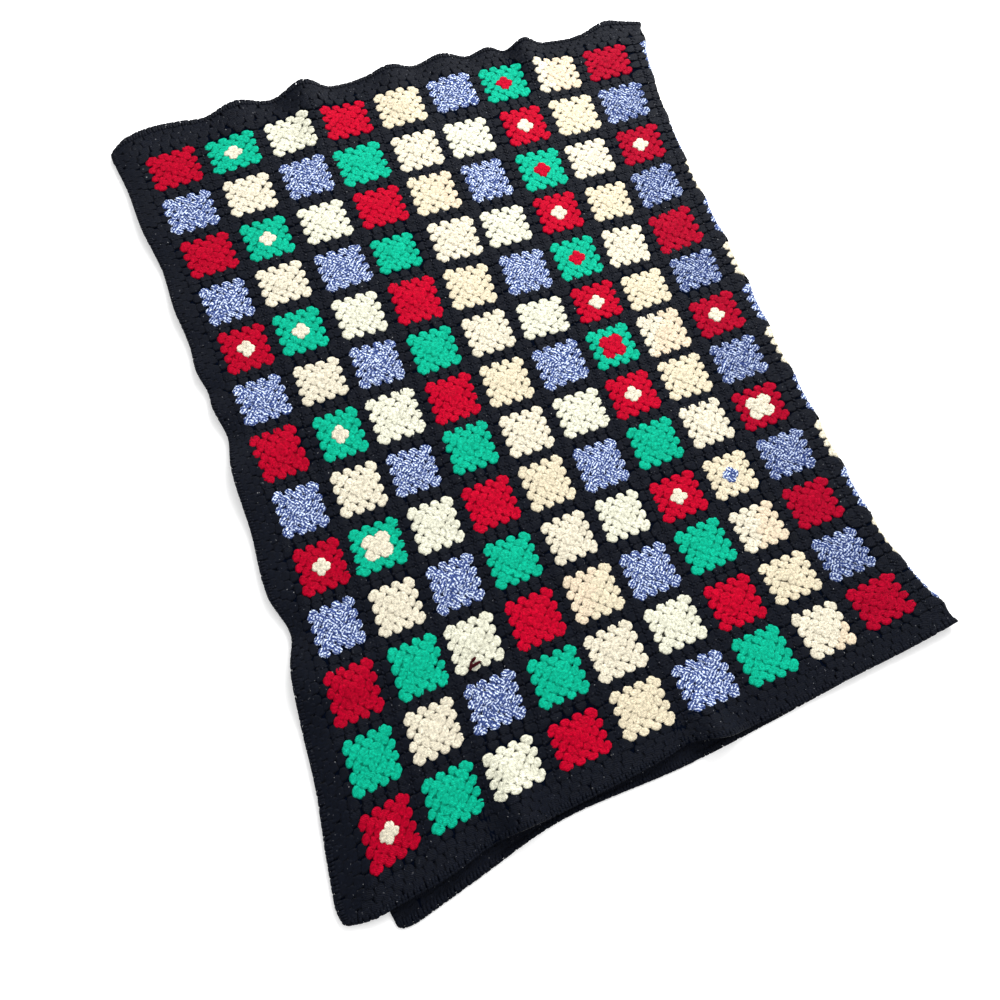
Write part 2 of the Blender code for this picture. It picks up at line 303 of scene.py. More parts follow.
def top_layer(column, row, left, far, near):
    """A place on the top layer. left, far and near are shares of the edging's width, 0 to 1."""
    x, y = lie(column, row)
    along_row = row - CORNER_OVERLAP * far + CORNER_OVERLAP * near
    along_column = column - CORNER_OVERLAP * left
    left_reach, left_lift = wave(LEFT_EDGE, along_row)
    far_reach, far_lift = wave(FAR_EDGE, along_column)
    near_reach, near_lift = wave(NEAR_EDGE, along_column)
    row_pitch = (TOP_LIE[0].y6 - TOP_LIE[-1].y6) / ROWS
    column_pitch = (TOP_LIE[0].x9 - TOP_LIE[0].x0) / LIE_COLUMNS[-1]
    from_left = left_reach * (1 - left) + column * column_pitch
    from_far = far_reach * (1 - far) + row * row_pitch
    from_near = near_reach * (1 - near) + (ROWS - row) * row_pitch
    lift = (
        left_lift * np.clip(1 - from_left / LIFT_FADE, 0, 1) ** 2
        + far_lift * np.clip(1 - from_far / LIFT_FADE, 0, 1) ** 2
        + near_lift * np.clip(1 - from_near / LIFT_FADE, 0, 1) ** 2
    )
    rounding = 1 - CORNER_ROUNDING * (left * np.maximum(far, near)) ** 2
    x = x - left_reach * left * rounding
    y = y + (far_reach * far - near_reach * near) * rounding
    z = resting_height(x, y, row) + ridge_height(x, y) + lift
    return x, y, z


def fold_start(row):
    """The column at which the roll of the fold begins, at any row."""
    return smooth_line([s.row for s in FOLD_LINE], [s.column for s in FOLD_LINE], row)


def place(column, row):
    """Where a place on the cloth's middle surface lies, for any column and row, edging included."""
    column = np.asarray(column, float)
    row = np.asarray(row, float)
    left = np.clip(-column, 0, 1)
    loose = np.clip(column - COLUMNS, 0, 1)
    far = np.clip(-row, 0, 1)
    near = np.clip(row - ROWS, 0, 1)
    column = np.clip(column, 0, COLUMNS)
    row = np.clip(row, 0, ROWS)

    start = fold_start(row + CORNER_OVERLAP * (near - far))
    top_column = np.minimum(column, start)
    x, y, z = top_layer(top_column, row, left, far, near)
    rise = soft_step((top_column - start) / FOLD_RISE_COLUMNS + 1)
    z = z + rise * np.maximum(FOLD_HEIGHT - z, 0)

    low = CLOTH_THICKNESS / 2
    half_height = (z - low) / 2
    half_round = np.pi * np.sqrt((FOLD_REACH**2 + half_height**2) / 2)
    column_pitch = (TOP_LIE[2].x9 - TOP_LIE[2].x6) / (LIE_COLUMNS[3] - LIE_COLUMNS[2])
    fold_columns = half_round / column_pitch
    turn = np.pi * np.clip((column - start) / fold_columns, 0, 1)
    folded = column > start
    fold_x = x + FOLD_REACH * np.sin(turn)
    fold_z = low + half_height * (1 + np.cos(turn))

    share = np.clip((column - start - fold_columns) / (COLUMNS - start - fold_columns), 0, 1)
    x18, y18 = under_outline(row)
    under_reach, _ = wave(UNDER_NEAR_EDGE, np.maximum(column, start) + CORNER_OVERLAP * loose)
    rounding = 1 - CORNER_ROUNDING * (loose * np.maximum(far, near)) ** 2
    under_y = y + share * (y18 + (EDGING_WIDTH * far - under_reach * near) * rounding - y)
    under_x = fold_x + share * (x18 - fold_x) - UNDER_LEFT_REACH * loose * rounding
    x = np.where(folded, under_x, x)
    y = np.where(folded, under_y, y)
    z = np.where(folded, fold_z, z)
    return np.stack([x - CENTRE[0], y - CENTRE[1], z], -1)


def outward(column, row):
    """The direction in which the cloth's right side faces, at places on it."""
    step = NORMAL_STEP
    across_cloth = place(column + step, row) - place(column - step, row)
    down_cloth = place(column, row + step) - place(column, row - step)
    normal = np.cross(down_cloth, across_cloth)
    return normal / np.linalg.norm(normal, axis=-1, keepdims=True)


# ---------------------------------------------------------------------------------------------
# Which yarn each square has
# ---------------------------------------------------------------------------------------------

# The yarns of the odd and the even rows' squares, column by column.
ColumnYarns = namedtuple("ColumnYarns", "column odd even")
COLUMN_YARNS = (
    ColumnYarns(1, "red", "blue"),
    ColumnYarns(2, "green", "cream"),
    ColumnYarns(3, "ivory", "blue"),
    ColumnYarns(4, "red", "green"),
    ColumnYarns(5, "cream", "cream"),
    ColumnYarns(6, "blue", "ivory"),
    ColumnYarns(7, "green", "red"),
    ColumnYarns(8, "cream", "cream"),
    ColumnYarns(9, "red", "blue"),
    ColumnYarns(10, "blue", "cream"),
    ColumnYarns(11, "green", "red"),
    ColumnYarns(12, "ivory", "cream"),
    ColumnYarns(13, "red", "blue"),
    ColumnYarns(14, "cream", "green"),
    ColumnYarns(15, "blue", "ivory"),
    ColumnYarns(16, "green", "red"),
    ColumnYarns(17, "cream", "cream"),
    ColumnYarns(18, "red", "blue"),
)
OddOneOut = namedtuple("OddOneOut", "column row yarn")
ODD_ONE_OUT = OddOneOut(1, 12, "green")

# Squares that were begun in another yarn, and for how many rounds.
Heart = namedtuple("Heart", "column rows yarn rounds")
HEARTS = (
    Heart(1, (5, 9, 13), "cream", 1),
    Heart(2, (1, 3, 5, 7), "cream", 1),
    Heart(2, (9,), "cream", 2),
    Heart(7, (1, 3, 5), "red", 1),
    Heart(7, (7,), "red", 2),
    Heart(7, (2, 4, 6, 8, 10), "cream", 1),
    Heart(8, (10,), "blue", 1),
    Heart(9, (3, 7), "cream", 1),
    Heart(9, (9,), "cream", 2),
    Heart(12, (4,), "blue", 1),
    Heart(13, (7,), "cream", 1),
    Heart(16, (5,), "cream", 1),
    Heart(18, (9,), "cream", 1),
)

# Tints of a yarn's colour. Wheat and blush are each a dye lot, deep is a darker tint, and the two tints of
# column 9 are painted shade where the cloth turns away from the light towards the fold; the red's one also
# makes the red pinker.
LOTS_AND_SHADES = {
    "plain": (1.0, 1.0, 1.0),
    "wheat": (0.97, 0.93, 0.86),
    "blush": (0.99, 0.90, 0.84),
    "deep": (0.86, 0.90, 0.92),
    "wine": (0.78, 1.00, 0.96),
    "dusk": (0.76, 0.77, 0.80),
}
ColumnLots = namedtuple("ColumnLots", "column odd even")
COLUMN_LOTS_AND_SHADES = (
    ColumnLots(1, "deep", "plain"),
    ColumnLots(5, "wheat", "plain"),
    ColumnLots(8, "plain", "wheat"),
    # Painted shade on column 9, where the cloth turns away from the light towards the fold.
    ColumnLots(9, "wine", "dusk"),
)
# Squares where one lot ran out: which lot takes over, from which side, and how far in.
LotChange = namedtuple("LotChange", "column row lot degrees reach")
LOT_CHANGES = (
    LotChange(8, 1, "blush", 0.0, -0.16),
    LotChange(5, 3, "blush", 0.0, 0.10),
    LotChange(5, 11, "blush", 200.0, 0.0),
    LotChange(8, 7, "blush", 30.0, -0.1),
    LotChange(8, 11, "blush", 20.0, 0.0),
    LotChange(8, 13, "blush", 45.0, 0.18),
)


def square_yarn(column, row, round_number):
    """The yarn of one round of a square."""
    if round_number > COLOURED_ROUNDS:
        return "black"
    for heart in HEARTS:
        if heart.column == column and row in heart.rows and round_number <= heart.rounds:
            return heart.yarn
    if (column, row) == (ODD_ONE_OUT.column, ODD_ONE_OUT.row):
        return ODD_ONE_OUT.yarn
    yarns = COLUMN_YARNS[column - 1]
    return yarns.odd if row % 2 else yarns.even


def square_lot_and_shade(column, row):
    """The tint of a square's yarn, from its column: a dye lot, a darker tint, and on column 9 painted shade
    by the fold.
    """
    for lots_and_shades in COLUMN_LOTS_AND_SHADES:
        if lots_and_shades.column == column:
            return lots_and_shades.odd if row % 2 else lots_and_shades.even
    return "plain"


# ---------------------------------------------------------------------------------------------
# Stitches, in rounds: modelled once and set down many times
# ---------------------------------------------------------------------------------------------

ROUND_HEIGHT = 0.01
COLOURED_ROUNDS = 4
SQUARE_ROUNDS = 5
ROUNDS_ACROSS_SQUARE = 10
EDGING_ROUNDS = 4
SIDES = 4
# A cluster takes up two rounds of a side.
CLUSTER_PITCH = 2
LAST_TOP_COLUMN = 10
# Yarn is pressed flatter where the cloth faces down, and the edging shows there from both sides.
UNDER_FLATNESS = 0.5
UNDER_FROM = 0.1
UNDER_TURN = 0.5
EDGING_SINK = 0.21
FLOOR_CLEARANCE = 0.0002

# A cluster is three trebles worked into one gap and the chain over their top, as one closed shell.
# Its lines run across it, from the gap up: how far up and how wide a line is, how far its ends are
# held back, and how high its posts, the grooves between them and its two edges stand.
ShellLine = namedtuple("ShellLine", "up width back post groove edge")
INNER_SHELL = (
    ShellLine(-0.20, 0.40, 0.00, 0.12, 0.07, 0.03),
    ShellLine(0.14, 0.60, 0.04, 0.20, 0.12, 0.10),
    ShellLine(0.50, 0.80, 0.06, 0.23, 0.13, 0.13),
    ShellLine(0.82, 1.05, 0.08, 0.21, 0.13, 0.16),
    ShellLine(1.12, 0.86, 0.06, 0.19, 0.14, 0.13),
    ShellLine(1.40, 0.46, 0.04, 0.12, 0.10, 0.09),
)
# The last coloured round stands in knuckles with deep notches between them.
OUTER_SHELL = (
    ShellLine(-0.20, 0.42, 0.00, 0.12, 0.06, 0.02),
    ShellLine(0.14, 0.62, 0.02, 0.21, 0.12, 0.08),
    ShellLine(0.46, 0.82, 0.04, 0.26, 0.14, 0.08),
    ShellLine(0.80, 0.86, 0.06, 0.27, 0.16, 0.06),
    ShellLine(1.12, 0.76, 0.12, 0.24, 0.17, 0.02),
    ShellLine(1.38, 0.42, 0.06, 0.02, 0.00, -0.06),
)
ShellColumn = namedtuple("ShellColumn", "share part")
SHELL_COLUMNS = (
    ShellColumn(-1.00, "edge"),
    ShellColumn(-0.67, "post"),
    ShellColumn(-0.34, "groove"),
    ShellColumn(0.00, "post"),
    ShellColumn(0.34, "groove"),
    ShellColumn(0.67, "post"),
    ShellColumn(1.00, "edge"),
)
PLAIN_COLUMNS = (
    ShellColumn(-1.0, "edge"),
    ShellColumn(-0.5, "post"),
    ShellColumn(0.5, "post"),
    ShellColumn(1.0, "edge"),
)
# The share of the way round a post from its side to its middle, and how the next post's ply lags.
POST_TURN = 0.25
POST_LAG = 0.4
CLUSTER_TILT = 0.08
# Coloured rounds are worked tighter than the round's height, and the black ones fill up to the join.
COLOURED_TIGHTNESS = 0.955
BLACK_TALLNESS = 0.95
BLACK_WIDTH = 1.08
# The edging's clusters are taller, lie a little lower and stray further than the squares' do.
EDGING_TALLNESS = 1.05
EDGING_LIFT = -0.03
EDGING_STRAY = 2.0
# A strand is flatter than it is wide, and its four flat sides are as full as a round one.
STRAND_FLATNESS = 0.75
STRAND_FULLNESS = 1.2
# The first round is a ring of four loose petals, turned a little.
PETAL_TALLNESS = 1.2
PETAL_LIFT = 0.05
PETAL_START = 0.10
FIRST_ROUND_TURN = radians(12.0)

# The small stitches of a join, and the tight trebles and the chain of the edging's last round.
StrandPoint = namedtuple("StrandPoint", "side up high radius")
JOIN_STITCH = (
    StrandPoint(-0.56, -0.20, 0.04, 0.0),
    StrandPoint(0.0, 0.0, 0.11, 0.24),
    StrandPoint(0.56, 0.20, 0.04, 0.0),
)
RIM_TREBLE = (
    StrandPoint(0.0, -0.20, 0.00, 0.0),
    StrandPoint(0.0, 0.12, 0.10, 0.24),
    StrandPoint(0.0, 0.70, 0.06, 0.24),
    StrandPoint(0.0, 0.96, -0.02, 0.0),
)
RIM_CHAIN = (
    StrandPoint(-0.42, 0.78, 0.02, 0.0),
    StrandPoint(-0.12, 0.86, 0.08, 0.20),
    StrandPoint(0.18, 0.84, 0.08, 0.20),
    StrandPoint(0.50, 0.78, 0.02, 0.0),
)
RIM_PITCH = 0.47
RIM_INSET = 0.6
EDGING_PITCH = 1.62
JOINS_ACROSS_SQUARE = 14
STRAND_SIDES = 4

# The joins stand proud where they go over the fold.
FOLD_SWELL = 0.45
FOLD_SWELL_COLUMNS = (9.10, 9.38, 9.75)
FOLD_SWELL_ROWS = 0.22
SIDEWAYS_ONLY = np.array((1.0, 1.0, 0.0))
# The black between two squares is stretched where it goes over the fold.
FOLD_SLIDE = 0.115
FOLD_SLIDE_COLUMNS = (8.85, 9.12, 9.9, 11.0)

Template = namedtuple("Template", "points corners starts totals smooth uv")
Stitches = namedtuple("Stitches", "column row side along out")


def strand(points):
    """A closed strand through points: a tip at each end and a ring of four at every point between."""
    places = np.array([p[:3] for p in points], float)
    up = np.array((0.0, 0.0, 1.0))
    verts = [places[0]]
    for k in range(1, len(points) - 1):
        along = places[k + 1] - places[k - 1]
        along /= np.linalg.norm(along)
        beside = np.cross(up, along)
        beside /= np.linalg.norm(beside)
        over = np.cross(along, beside)
        for j in range(STRAND_SIDES):
            angle = 2 * pi * (j + 0.5) / STRAND_SIDES
            ring = np.cos(angle) * beside + STRAND_FLATNESS * np.sin(angle) * over
            verts.append(places[k] + points[k][3] * STRAND_FULLNESS * ring)
    verts.append(places[-1])
    lengths = np.concatenate([[0], np.cumsum(np.linalg.norm(np.diff(places, axis=0), axis=1))])

    faces = []
    rings = len(points) - 2
    for j in range(STRAND_SIDES):
        after = (j + 1) % STRAND_SIDES
        here = j / STRAND_SIDES
        there = (j + 1) / STRAND_SIDES
        faces.append(((0, lengths[0], here), (1 + after, lengths[1], there), (1 + j, lengths[1], here)))
        for k in range(1, rings):
            low = 1 + (k - 1) * STRAND_SIDES
            high = low + STRAND_SIDES
            faces.append(
                (
                    (low + j, lengths[k], here),
                    (low + after, lengths[k], there),
                    (high + after, lengths[k + 1], there),
                    (high + j, lengths[k + 1], here),
                )
            )
        low = 1 + (rings - 1) * STRAND_SIDES
        faces.append(
            (
                (low + j, lengths[rings], here),
                (low + after, lengths[rings], there),
                (len(verts) - 1, lengths[-1], here),
            )
        )
    return verts, faces


def shell(lines, columns=SHELL_COLUMNS, tallness=1.0, width=1.0, lift=0.0, start=0.0):
    """A closed shell through lines of the table, with a flat underside."""
    verts = []
    for line in lines:
        for column in columns:
            beside = column.share * line.width * width
            up = (line.up - line.back * column.share**2) * tallness
            verts.append((beside, start + up - CLUSTER_TILT * beside, getattr(line, column.part) + lift))

    across_count = len(columns)

    def corner(i, j, post=0):
        around = (j - 2 * post) * POST_TURN + post * POST_LAG
        return i * across_count + j, (lines[i].up - lines[0].up) * tallness, around

    last_line, last_column = len(lines) - 1, across_count - 1
    faces = []
    for i in range(last_line):
        for j in range(last_column):
            cell = ((i, j), (i, j + 1), (i + 1, j + 1), (i + 1, j))
            faces.append(tuple(corner(*at, j // 2) for at in cell))
    underside = [corner(i, 0) for i in range(last_line)]
    underside += [corner(last_line, j) for j in range(last_column)]
    underside += [corner(i, last_column) for i in range(last_line, 0, -1)]
    underside += [corner(0, j) for j in range(last_column, 0, -1)]
    return verts, [*faces, tuple(underside)]


def template(*parts):
    """Several strands or shells as one template."""
    points, corners, starts, totals, smooth, uv = [], [], [], [], [], []
    for verts, faces in parts:
        for face in faces:
            starts.append(len(corners))
            totals.append(len(face))
            smooth.append(len(face) <= STRAND_SIDES)
            corners.extend(len(points) + corner[0] for corner in face)
            uv.extend(corner[1:] for corner in face)
        points.extend(verts)
    return Template(*(np.array(values) for values in (points, corners, starts, totals, smooth, uv)))


INNER_CLUSTER = template(shell(INNER_SHELL))
OUTER_CLUSTER = template(shell(OUTER_SHELL))
PETAL = template(shell(OUTER_SHELL, tallness=PETAL_TALLNESS, lift=PETAL_LIFT, start=PETAL_START))
BLACK_LINES = (INNER_SHELL[0], INNER_SHELL[1], INNER_SHELL[2], INNER_SHELL[4], INNER_SHELL[5])
BLACK_CLUSTER = template(shell(BLACK_LINES, tallness=BLACK_TALLNESS, width=BLACK_WIDTH))
EDGING_CLUSTER = template(
    shell(BLACK_LINES, tallness=EDGING_TALLNESS, width=BLACK_WIDTH, lift=EDGING_LIFT)
)
UNDER_LINES = (OUTER_SHELL[0], OUTER_SHELL[2], OUTER_SHELL[4], OUTER_SHELL[5])
UNDER_CLUSTER = template(shell(UNDER_LINES, PLAIN_COLUMNS))
JOIN = template(strand(JOIN_STITCH))
RIM = template(strand(RIM_TREBLE), strand(RIM_CHAIN))

# ---------------------------------------------------------------------------------------------
# Names, limits, finishes and the stage
# ---------------------------------------------------------------------------------------------

STRAND_MAP = "strand"
TINT = "tint"
CORE = "cloth_core"
BLACK_MATERIAL = "Black yarn"
PIECE_TRIANGLES = 200000
# The share of a square's turn and shift that its black round follows.
BLACK_SHARE = 0.4

# How tall the squares of each row came out, from the far end.
ROW_GROWTHS = (0.96, 1.00, 1.01, 0.97, 1.05, 0.94, 1.04, 1.00, 1.00, 0.96, 1.02, 0.98, 0.98)

YarnPiece = namedtuple("YarnPiece", "name material slot")
COLOURED_YARNS = (
    YarnPiece("red", "Red yarn", "red_yarn"),
    YarnPiece("green", "Green yarn", "green_yarn"),
    YarnPiece("blue", "Blue and white marl yarn", "blue_marl_yarn"),
    YarnPiece("cream", "Cream yarn", "cream_yarn"),
    YarnPiece("ivory", "Ivory yarn", "cream_yarn"),
)
# The shape of the stitches in each round, in the top layer's columns and in the under layer's.
TOP_SHAPES = (PETAL, INNER_CLUSTER, INNER_CLUSTER, OUTER_CLUSTER, BLACK_CLUSTER)
Layer = namedtuple("Layer", "name first last shapes")
LAYERS = (
    Layer("top", 1, LAST_TOP_COLUMN, TOP_SHAPES),
    Layer("under", LAST_TOP_COLUMN + 1, COLUMNS, (UNDER_CLUSTER,) * SQUARE_ROUNDS),
)

# Stations of the core's cells in a square and in the edging, and the extra ones round the fold.
CORE_SHARES = (0.0, 0.23, 0.41, 0.59, 0.77)
CORE_EDGING_SHARES = (0.25, 0.5, 0.75, 0.93)
STATION_DIGITS = 4
QUAD_CORNERS = 4
# A cell beside the middle one takes its painted shade from this round's yarn.
CORE_RING_ROUND = 3
# The core drops under the top layer's edging, but not as far out as its last round.
CORE_EDGING_DROP = 0.0009
CORE_RIM_SHARE = 0.8
# Painted shade in the holes: how light the core is there, as a share of the yarn's colour.
PAINTED_HOLE_SHADES = {"red": 0.75, "green": 0.6, "blue": 0.15, "cream": 0.04, "ivory": 0.045}
FoldStations = namedtuple("FoldStations", "first last step")
FOLD_STATIONS = FoldStations(9.0, 9.72, 0.03)

# The stray end: a trunk and two branches, from place to place on the cloth.
StrayLine = namedtuple("StrayLine", "column row end_column end_row")
STRAY_LINES = (
    StrayLine(2.285, 10.880, 2.350, 10.735),
    StrayLine(2.340, 10.760, 2.430, 10.715),
    StrayLine(2.300, 10.835, 2.490, 10.805),
)
StrayPoint = namedtuple("StrayPoint", "along height radius")
STRAY_SHAPE = (
    StrayPoint(0.0, 0.50, 0.0),
    StrayPoint(0.15, 0.62, 0.24),
    StrayPoint(0.5, 0.66, 0.30),
    StrayPoint(0.85, 0.60, 0.22),
    StrayPoint(1.0, 0.50, 0.0),
)

# The yarns' twist, with painted light and shade along its plies, and the slubs that slip it along.
PLIES = 4
PAINTED_TWIST_LIGHT = 0.2
TWIST_HEIGHT = 0.0002
SLUB_SCALE = 260.0
SLUB_SLIP = 3.0
# Fibres, painted highlights and shade where single loops catch the light, broad patches, and the brightest of
# these spots as light grey specks.
FIBRE_SCALE = 1100.0
FIBRE_SHADE = 0.12
FIBRE_HEIGHT = 0.0002
GLINT_SCALE = 300.0
PAINTED_GLINT_SHADE = 0.8
PATCH_SCALE = 30.0
PATCH_SHADE = 0.04
SPECKS_FROM = 0.72
SPECKS_TO = 0.80
# The marl's second ply: how far its edges fray, how soft they are, and how little of it shows.
MARL_PLIES = 2
MARL_SCALE = 300.0
MARL_FRAYING = 4.0
MARL_SOFTNESS = 0.35
MARL_SHARE = 0.6
SHEEN_ROUGHNESS = 0.4
CORE_SHADE_SPREAD = 0.5

FLOOR_SIZE = 14.0
FLOOR_SCALE = 1.5
FLOOR_UNEVENNESS = 0.99
FLOOR_ROUGHNESS = 0.95
FLOOR_GLOSS = 0.1
WINDOW_SIZE = 2.4
WINDOW_PLACE = (1.7, 1.9, 1.9)
WINDOW_AIM = (0.0, 0.0, 0.0)
CAMERA_PLACE = (-0.5355, -0.5812, 1.4264)
CAMERA_AIM = (-0.1066, -0.1600, 0.0)
CAMERA_ROLL = radians(23.45)
SENSOR_WIDTH = 36.0


def rounds_to_cloth(across, down):
    """Column and row of a place given in rounds from the squares' far left corner."""
    found = []
    for at, last in ((across, COLUMNS), (down, ROWS)):
        end = last * ROUNDS_ACROSS_SQUARE
        inside = np.clip(at, 0, end) / ROUNDS_ACROSS_SQUARE
        before = np.clip(at / EDGING_ROUNDS, -1, 0)
        after = np.clip((at - end) / EDGING_ROUNDS, 0, 1)
        found.append(inside + before + after)
    column, row = found
    return column + FOLD_SLIDE * np.interp(column, FOLD_SLIDE_COLUMNS, (0.0, 1.0, 1.0, 0.0)), row


def turned(sideways, outwards, side):
    """Side 0 faces the far end, 1 the fold, 2 the near end and 3 the loose side, clockwise."""
    side = np.broadcast_to(side, np.shape(sideways))
    across_cloth = np.choose(side, [sideways, outwards, -sideways, -outwards])
    down_cloth = np.choose(side, [-outwards, sideways, outwards, -sideways])
    return across_cloth, down_cloth


def yarn_height(high, column, row, away):
    """How far yarn stands off the cloth that faces away, and how far the fold's joins bulge sideways."""
    under = soft_step((-away[..., 2] - UNDER_FROM) / UNDER_TURN)
    sunk = EDGING_SINK * under * (row > ROWS)
    swell = np.interp(column, FOLD_SWELL_COLUMNS, (0.0, 1.0, 0.0))
    join = np.exp(-(((row - np.round(row)) / FOLD_SWELL_ROWS) ** 2))
    height = (high - sunk) * (1 - (1 - UNDER_FLATNESS) * under)
    return height * ROUND_HEIGHT, FOLD_SWELL * swell * join * ROUND_HEIGHT


class Pile:
    """Copies of stitches that become one mesh."""

    def __init__(self):
        self.places, self.tints, self.uv = [], [], []
        self.corners, self.starts, self.totals, self.smooth = [], [], [], []
        self.vertex_count = 0
        self.corner_count = 0

    def add(self, shape, across_cloth, down_cloth, tints, offsets):
        """Adds copies of a shape: a row of places and a tint for each copy."""
        copies, count = across_cloth.shape
        column, row = rounds_to_cloth(across_cloth, down_cloth)
        away = outward(column, row)
        lift, swell = yarn_height(shape.points[:, 2], column, row, away)
        spot = place(column, row) + away * lift[..., None] + away * SIDEWAYS_ONLY * swell[..., None]
        spot[..., 2] = np.maximum(spot[..., 2], FLOOR_CLEARANCE)
        self.places.append(spot.reshape(-1, 3))
        first_vertex = self.vertex_count + np.arange(copies)[:, None] * count
        first_corner = self.corner_count + np.arange(copies)[:, None] * len(shape.corners)
        self.corners.append((shape.corners + first_vertex).ravel())
        self.starts.append((shape.starts + first_corner).ravel())
        self.totals.append(np.tile(shape.totals, copies))
        self.smooth.append(np.tile(shape.smooth, copies))
        uv = np.repeat(shape.uv[None], copies, axis=0)
        uv[..., 0] = uv[..., 0] * ROUND_HEIGHT + offsets[:, None]
        self.uv.append(uv.reshape(-1, 2))
        self.tints.append(np.repeat(tints, count, axis=0))
        self.vertex_count += copies * count
        self.corner_count += copies * len(shape.corners)

    def piece(self, name, material):
        """Makes the mesh and its object, which rides on the blanket."""
        data = bpy.data.meshes.new(name)
        data.vertices.add(self.vertex_count)
        data.vertices.foreach_set("co", np.concatenate(self.places).astype(np.float32).ravel())
        data.loops.add(self.corner_count)
        data.loops.foreach_set("vertex_index", np.concatenate(self.corners).astype(np.int32))
        starts = np.concatenate(self.starts).astype(np.int32)
        data.polygons.add(len(starts))
        data.polygons.foreach_set("loop_start", starts)
        data.polygons.foreach_set("loop_total", np.concatenate(self.totals).astype(np.int32))
        data.polygons.foreach_set("use_smooth", np.concatenate(self.smooth))
        layer = data.uv_layers.new(name=STRAND_MAP)
        layer.data.foreach_set("uv", np.concatenate(self.uv).astype(np.float32).ravel())
        add_tints(data, "POINT", np.concatenate(self.tints))
        data.update(calc_edges=True)
        return finished_piece(name, data, material)


def add_tints(data, domain, tints):
    """Stores a colour for each point or corner, as the attribute that the yarns' materials read; it carries
    the painted shade by the fold and in the holes as well.
    """
    layer = data.color_attributes.new(name=TINT, type="FLOAT_COLOR", domain=domain)
    opaque = np.ones((len(tints), 1))
    layer.data.foreach_set("color", np.concatenate([tints, opaque], axis=1).astype(np.float32).ravel())


def finished_piece(name, data, material):
    """A mesh as an object that is linked, rides on the blanket and isn't too heavy."""
    if data.validate(clean_customdata=False):
        raise RuntimeError(f"{name}: its faces don't make a sound mesh")
    triangles = len(data.loops) - 2 * len(data.polygons)
    if triangles > PIECE_TRIANGLES:
        raise RuntimeError(f"{name}: {triangles} triangles are too many for one piece")
    data.materials.append(material)
    piece = bpy.data.objects.new(name, data)
    bpy.context.scene.collection.objects.link(piece)
    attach(piece, BODY)
    return piece


def round_stitches(squares, round_number):
    """Every cluster of one round of some squares: as many on a side as the round's number."""
    found = []
    out = round_number - 1
    for column, row in squares:
        for side in range(SIDES):
            for along in range(-out, out + 1, CLUSTER_PITCH):
                found.append((column, row, side, along, out))
    stitches = Stitches(*np.array(found, int).reshape(-1, 5).T)
    if round_number > COLOURED_ROUNDS:
        return stitches._replace(out=stitches.out - COLOURED_ROUNDS * (1 - COLOURED_TIGHTNESS))
    return stitches


def lot_and_shade_tints(stitches, yarn):
    """The tint of every cluster, from its dye lot and from painted shade by the fold. A heart's yarn is of
    the plain lot.
    """
    lots_and_shades = []
    for column, row in zip(stitches.column, stitches.row):
        in_heart = square_yarn(column, row, COLOURED_ROUNDS) != yarn
        lots_and_shades.append("plain" if in_heart else square_lot_and_shade(column, row))
    tints = np.array([LOTS_AND_SHADES[lot] for lot in lots_and_shades], float).reshape(-1, 3)
    middle_x, middle_y = turned(stitches.along, stitches.out + 0.5, stitches.side)
    for change in LOT_CHANGES:
        turn = radians(change.degrees)
        ahead = (middle_x * np.cos(turn) + middle_y * np.sin(turn)) / ROUNDS_ACROSS_SQUARE
        chosen = (stitches.column == change.column) & (stitches.row == change.row) & (ahead > change.reach)
        tints[chosen] = LOTS_AND_SHADES[change.lot]
    return tints


def swung(shape, turn):
    """A shape's places to the side and outwards, in a row for each turn."""
    x, y = shape.points[None, :, 0], shape.points[None, :, 1]
    return x * np.cos(turn) - y * np.sin(turn), x * np.sin(turn) + y * np.cos(turn)


def uneven_copies(shape, along, out, stray, sizes, dice):
    """Copies of a shape at places along and out of a side, each a little unlike the others."""
    copies = len(along)
    turn = sizes.cluster_turn * dice.standard_normal((copies, 1))
    growth = 1 + sizes.cluster_growth * dice.standard_normal((copies, 1))
    shift = stray * sizes.cluster_shift / ROUND_HEIGHT * dice.standard_normal((2, copies, 1))
    shade = 1 + sizes.cluster_shade * dice.standard_normal((copies, 1))
    offsets = dice.uniform(0, 1, copies)
    sideways, outwards = swung(shape, turn)
    sideways = sideways * growth + along[:, None] + shift[0]
    outwards = outwards + out[:, None] + shift[1]
    return sideways, outwards, shade, offsets


def set_down(pile, shape, stitches, tints, sizes, dice, unevenness):
    """Sets a shape down at every stitch of some squares, which are as uneven as given."""
    places = (stitches.along, stitches.out)
    sideways, outwards, shade, offsets = uneven_copies(shape, *places, 1.0, sizes, dice)
    across_cloth, down_cloth = turned(sideways, outwards, stitches.side[:, None])
    own = unevenness[:, stitches.column, stitches.row, None]
    angle, growth_across, growth_down, shift_across, shift_down = own
    across_square = across_cloth * np.cos(angle) - down_cloth * np.sin(angle)
    down_square = across_cloth * np.sin(angle) + down_cloth * np.cos(angle)
    across_square = across_square * growth_across + shift_across
    down_square = down_square * growth_down + shift_down
    middle_across = ((stitches.column - 0.5) * ROUNDS_ACROSS_SQUARE)[:, None]
    middle_down = ((stitches.row - 0.5) * ROUNDS_ACROSS_SQUARE)[:, None]
    pile.add(shape, across_square + middle_across, down_square + middle_down, tints * shade, offsets)


def all_squares():
    return [(column, row) for column in range(1, COLUMNS + 1) for row in range(1, ROWS + 1)]


def square_unevenness(round_number, sizes):
    """Each square's turn, its growth across and down, and its shift across and down."""
    dice = np.random.default_rng(sizes.seed)
    own = dice.standard_normal((5, COLUMNS + 1, ROWS + 1))
    turn = sizes.square_turn * own[0]
    growth = 1 + sizes.square_growth * own[1:3]
    growth[1] = growth[1] * np.array([1.0, *ROW_GROWTHS])
    shift = sizes.square_shift / ROUND_HEIGHT * own[3:5]
    if round_number > COLOURED_ROUNDS:
        return np.concatenate([turn[None] * BLACK_SHARE, np.ones_like(growth), shift * BLACK_SHARE])
    if round_number == 1:
        turn = turn + FIRST_ROUND_TURN
    return np.concatenate([turn[None], growth * COLOURED_TIGHTNESS, shift])


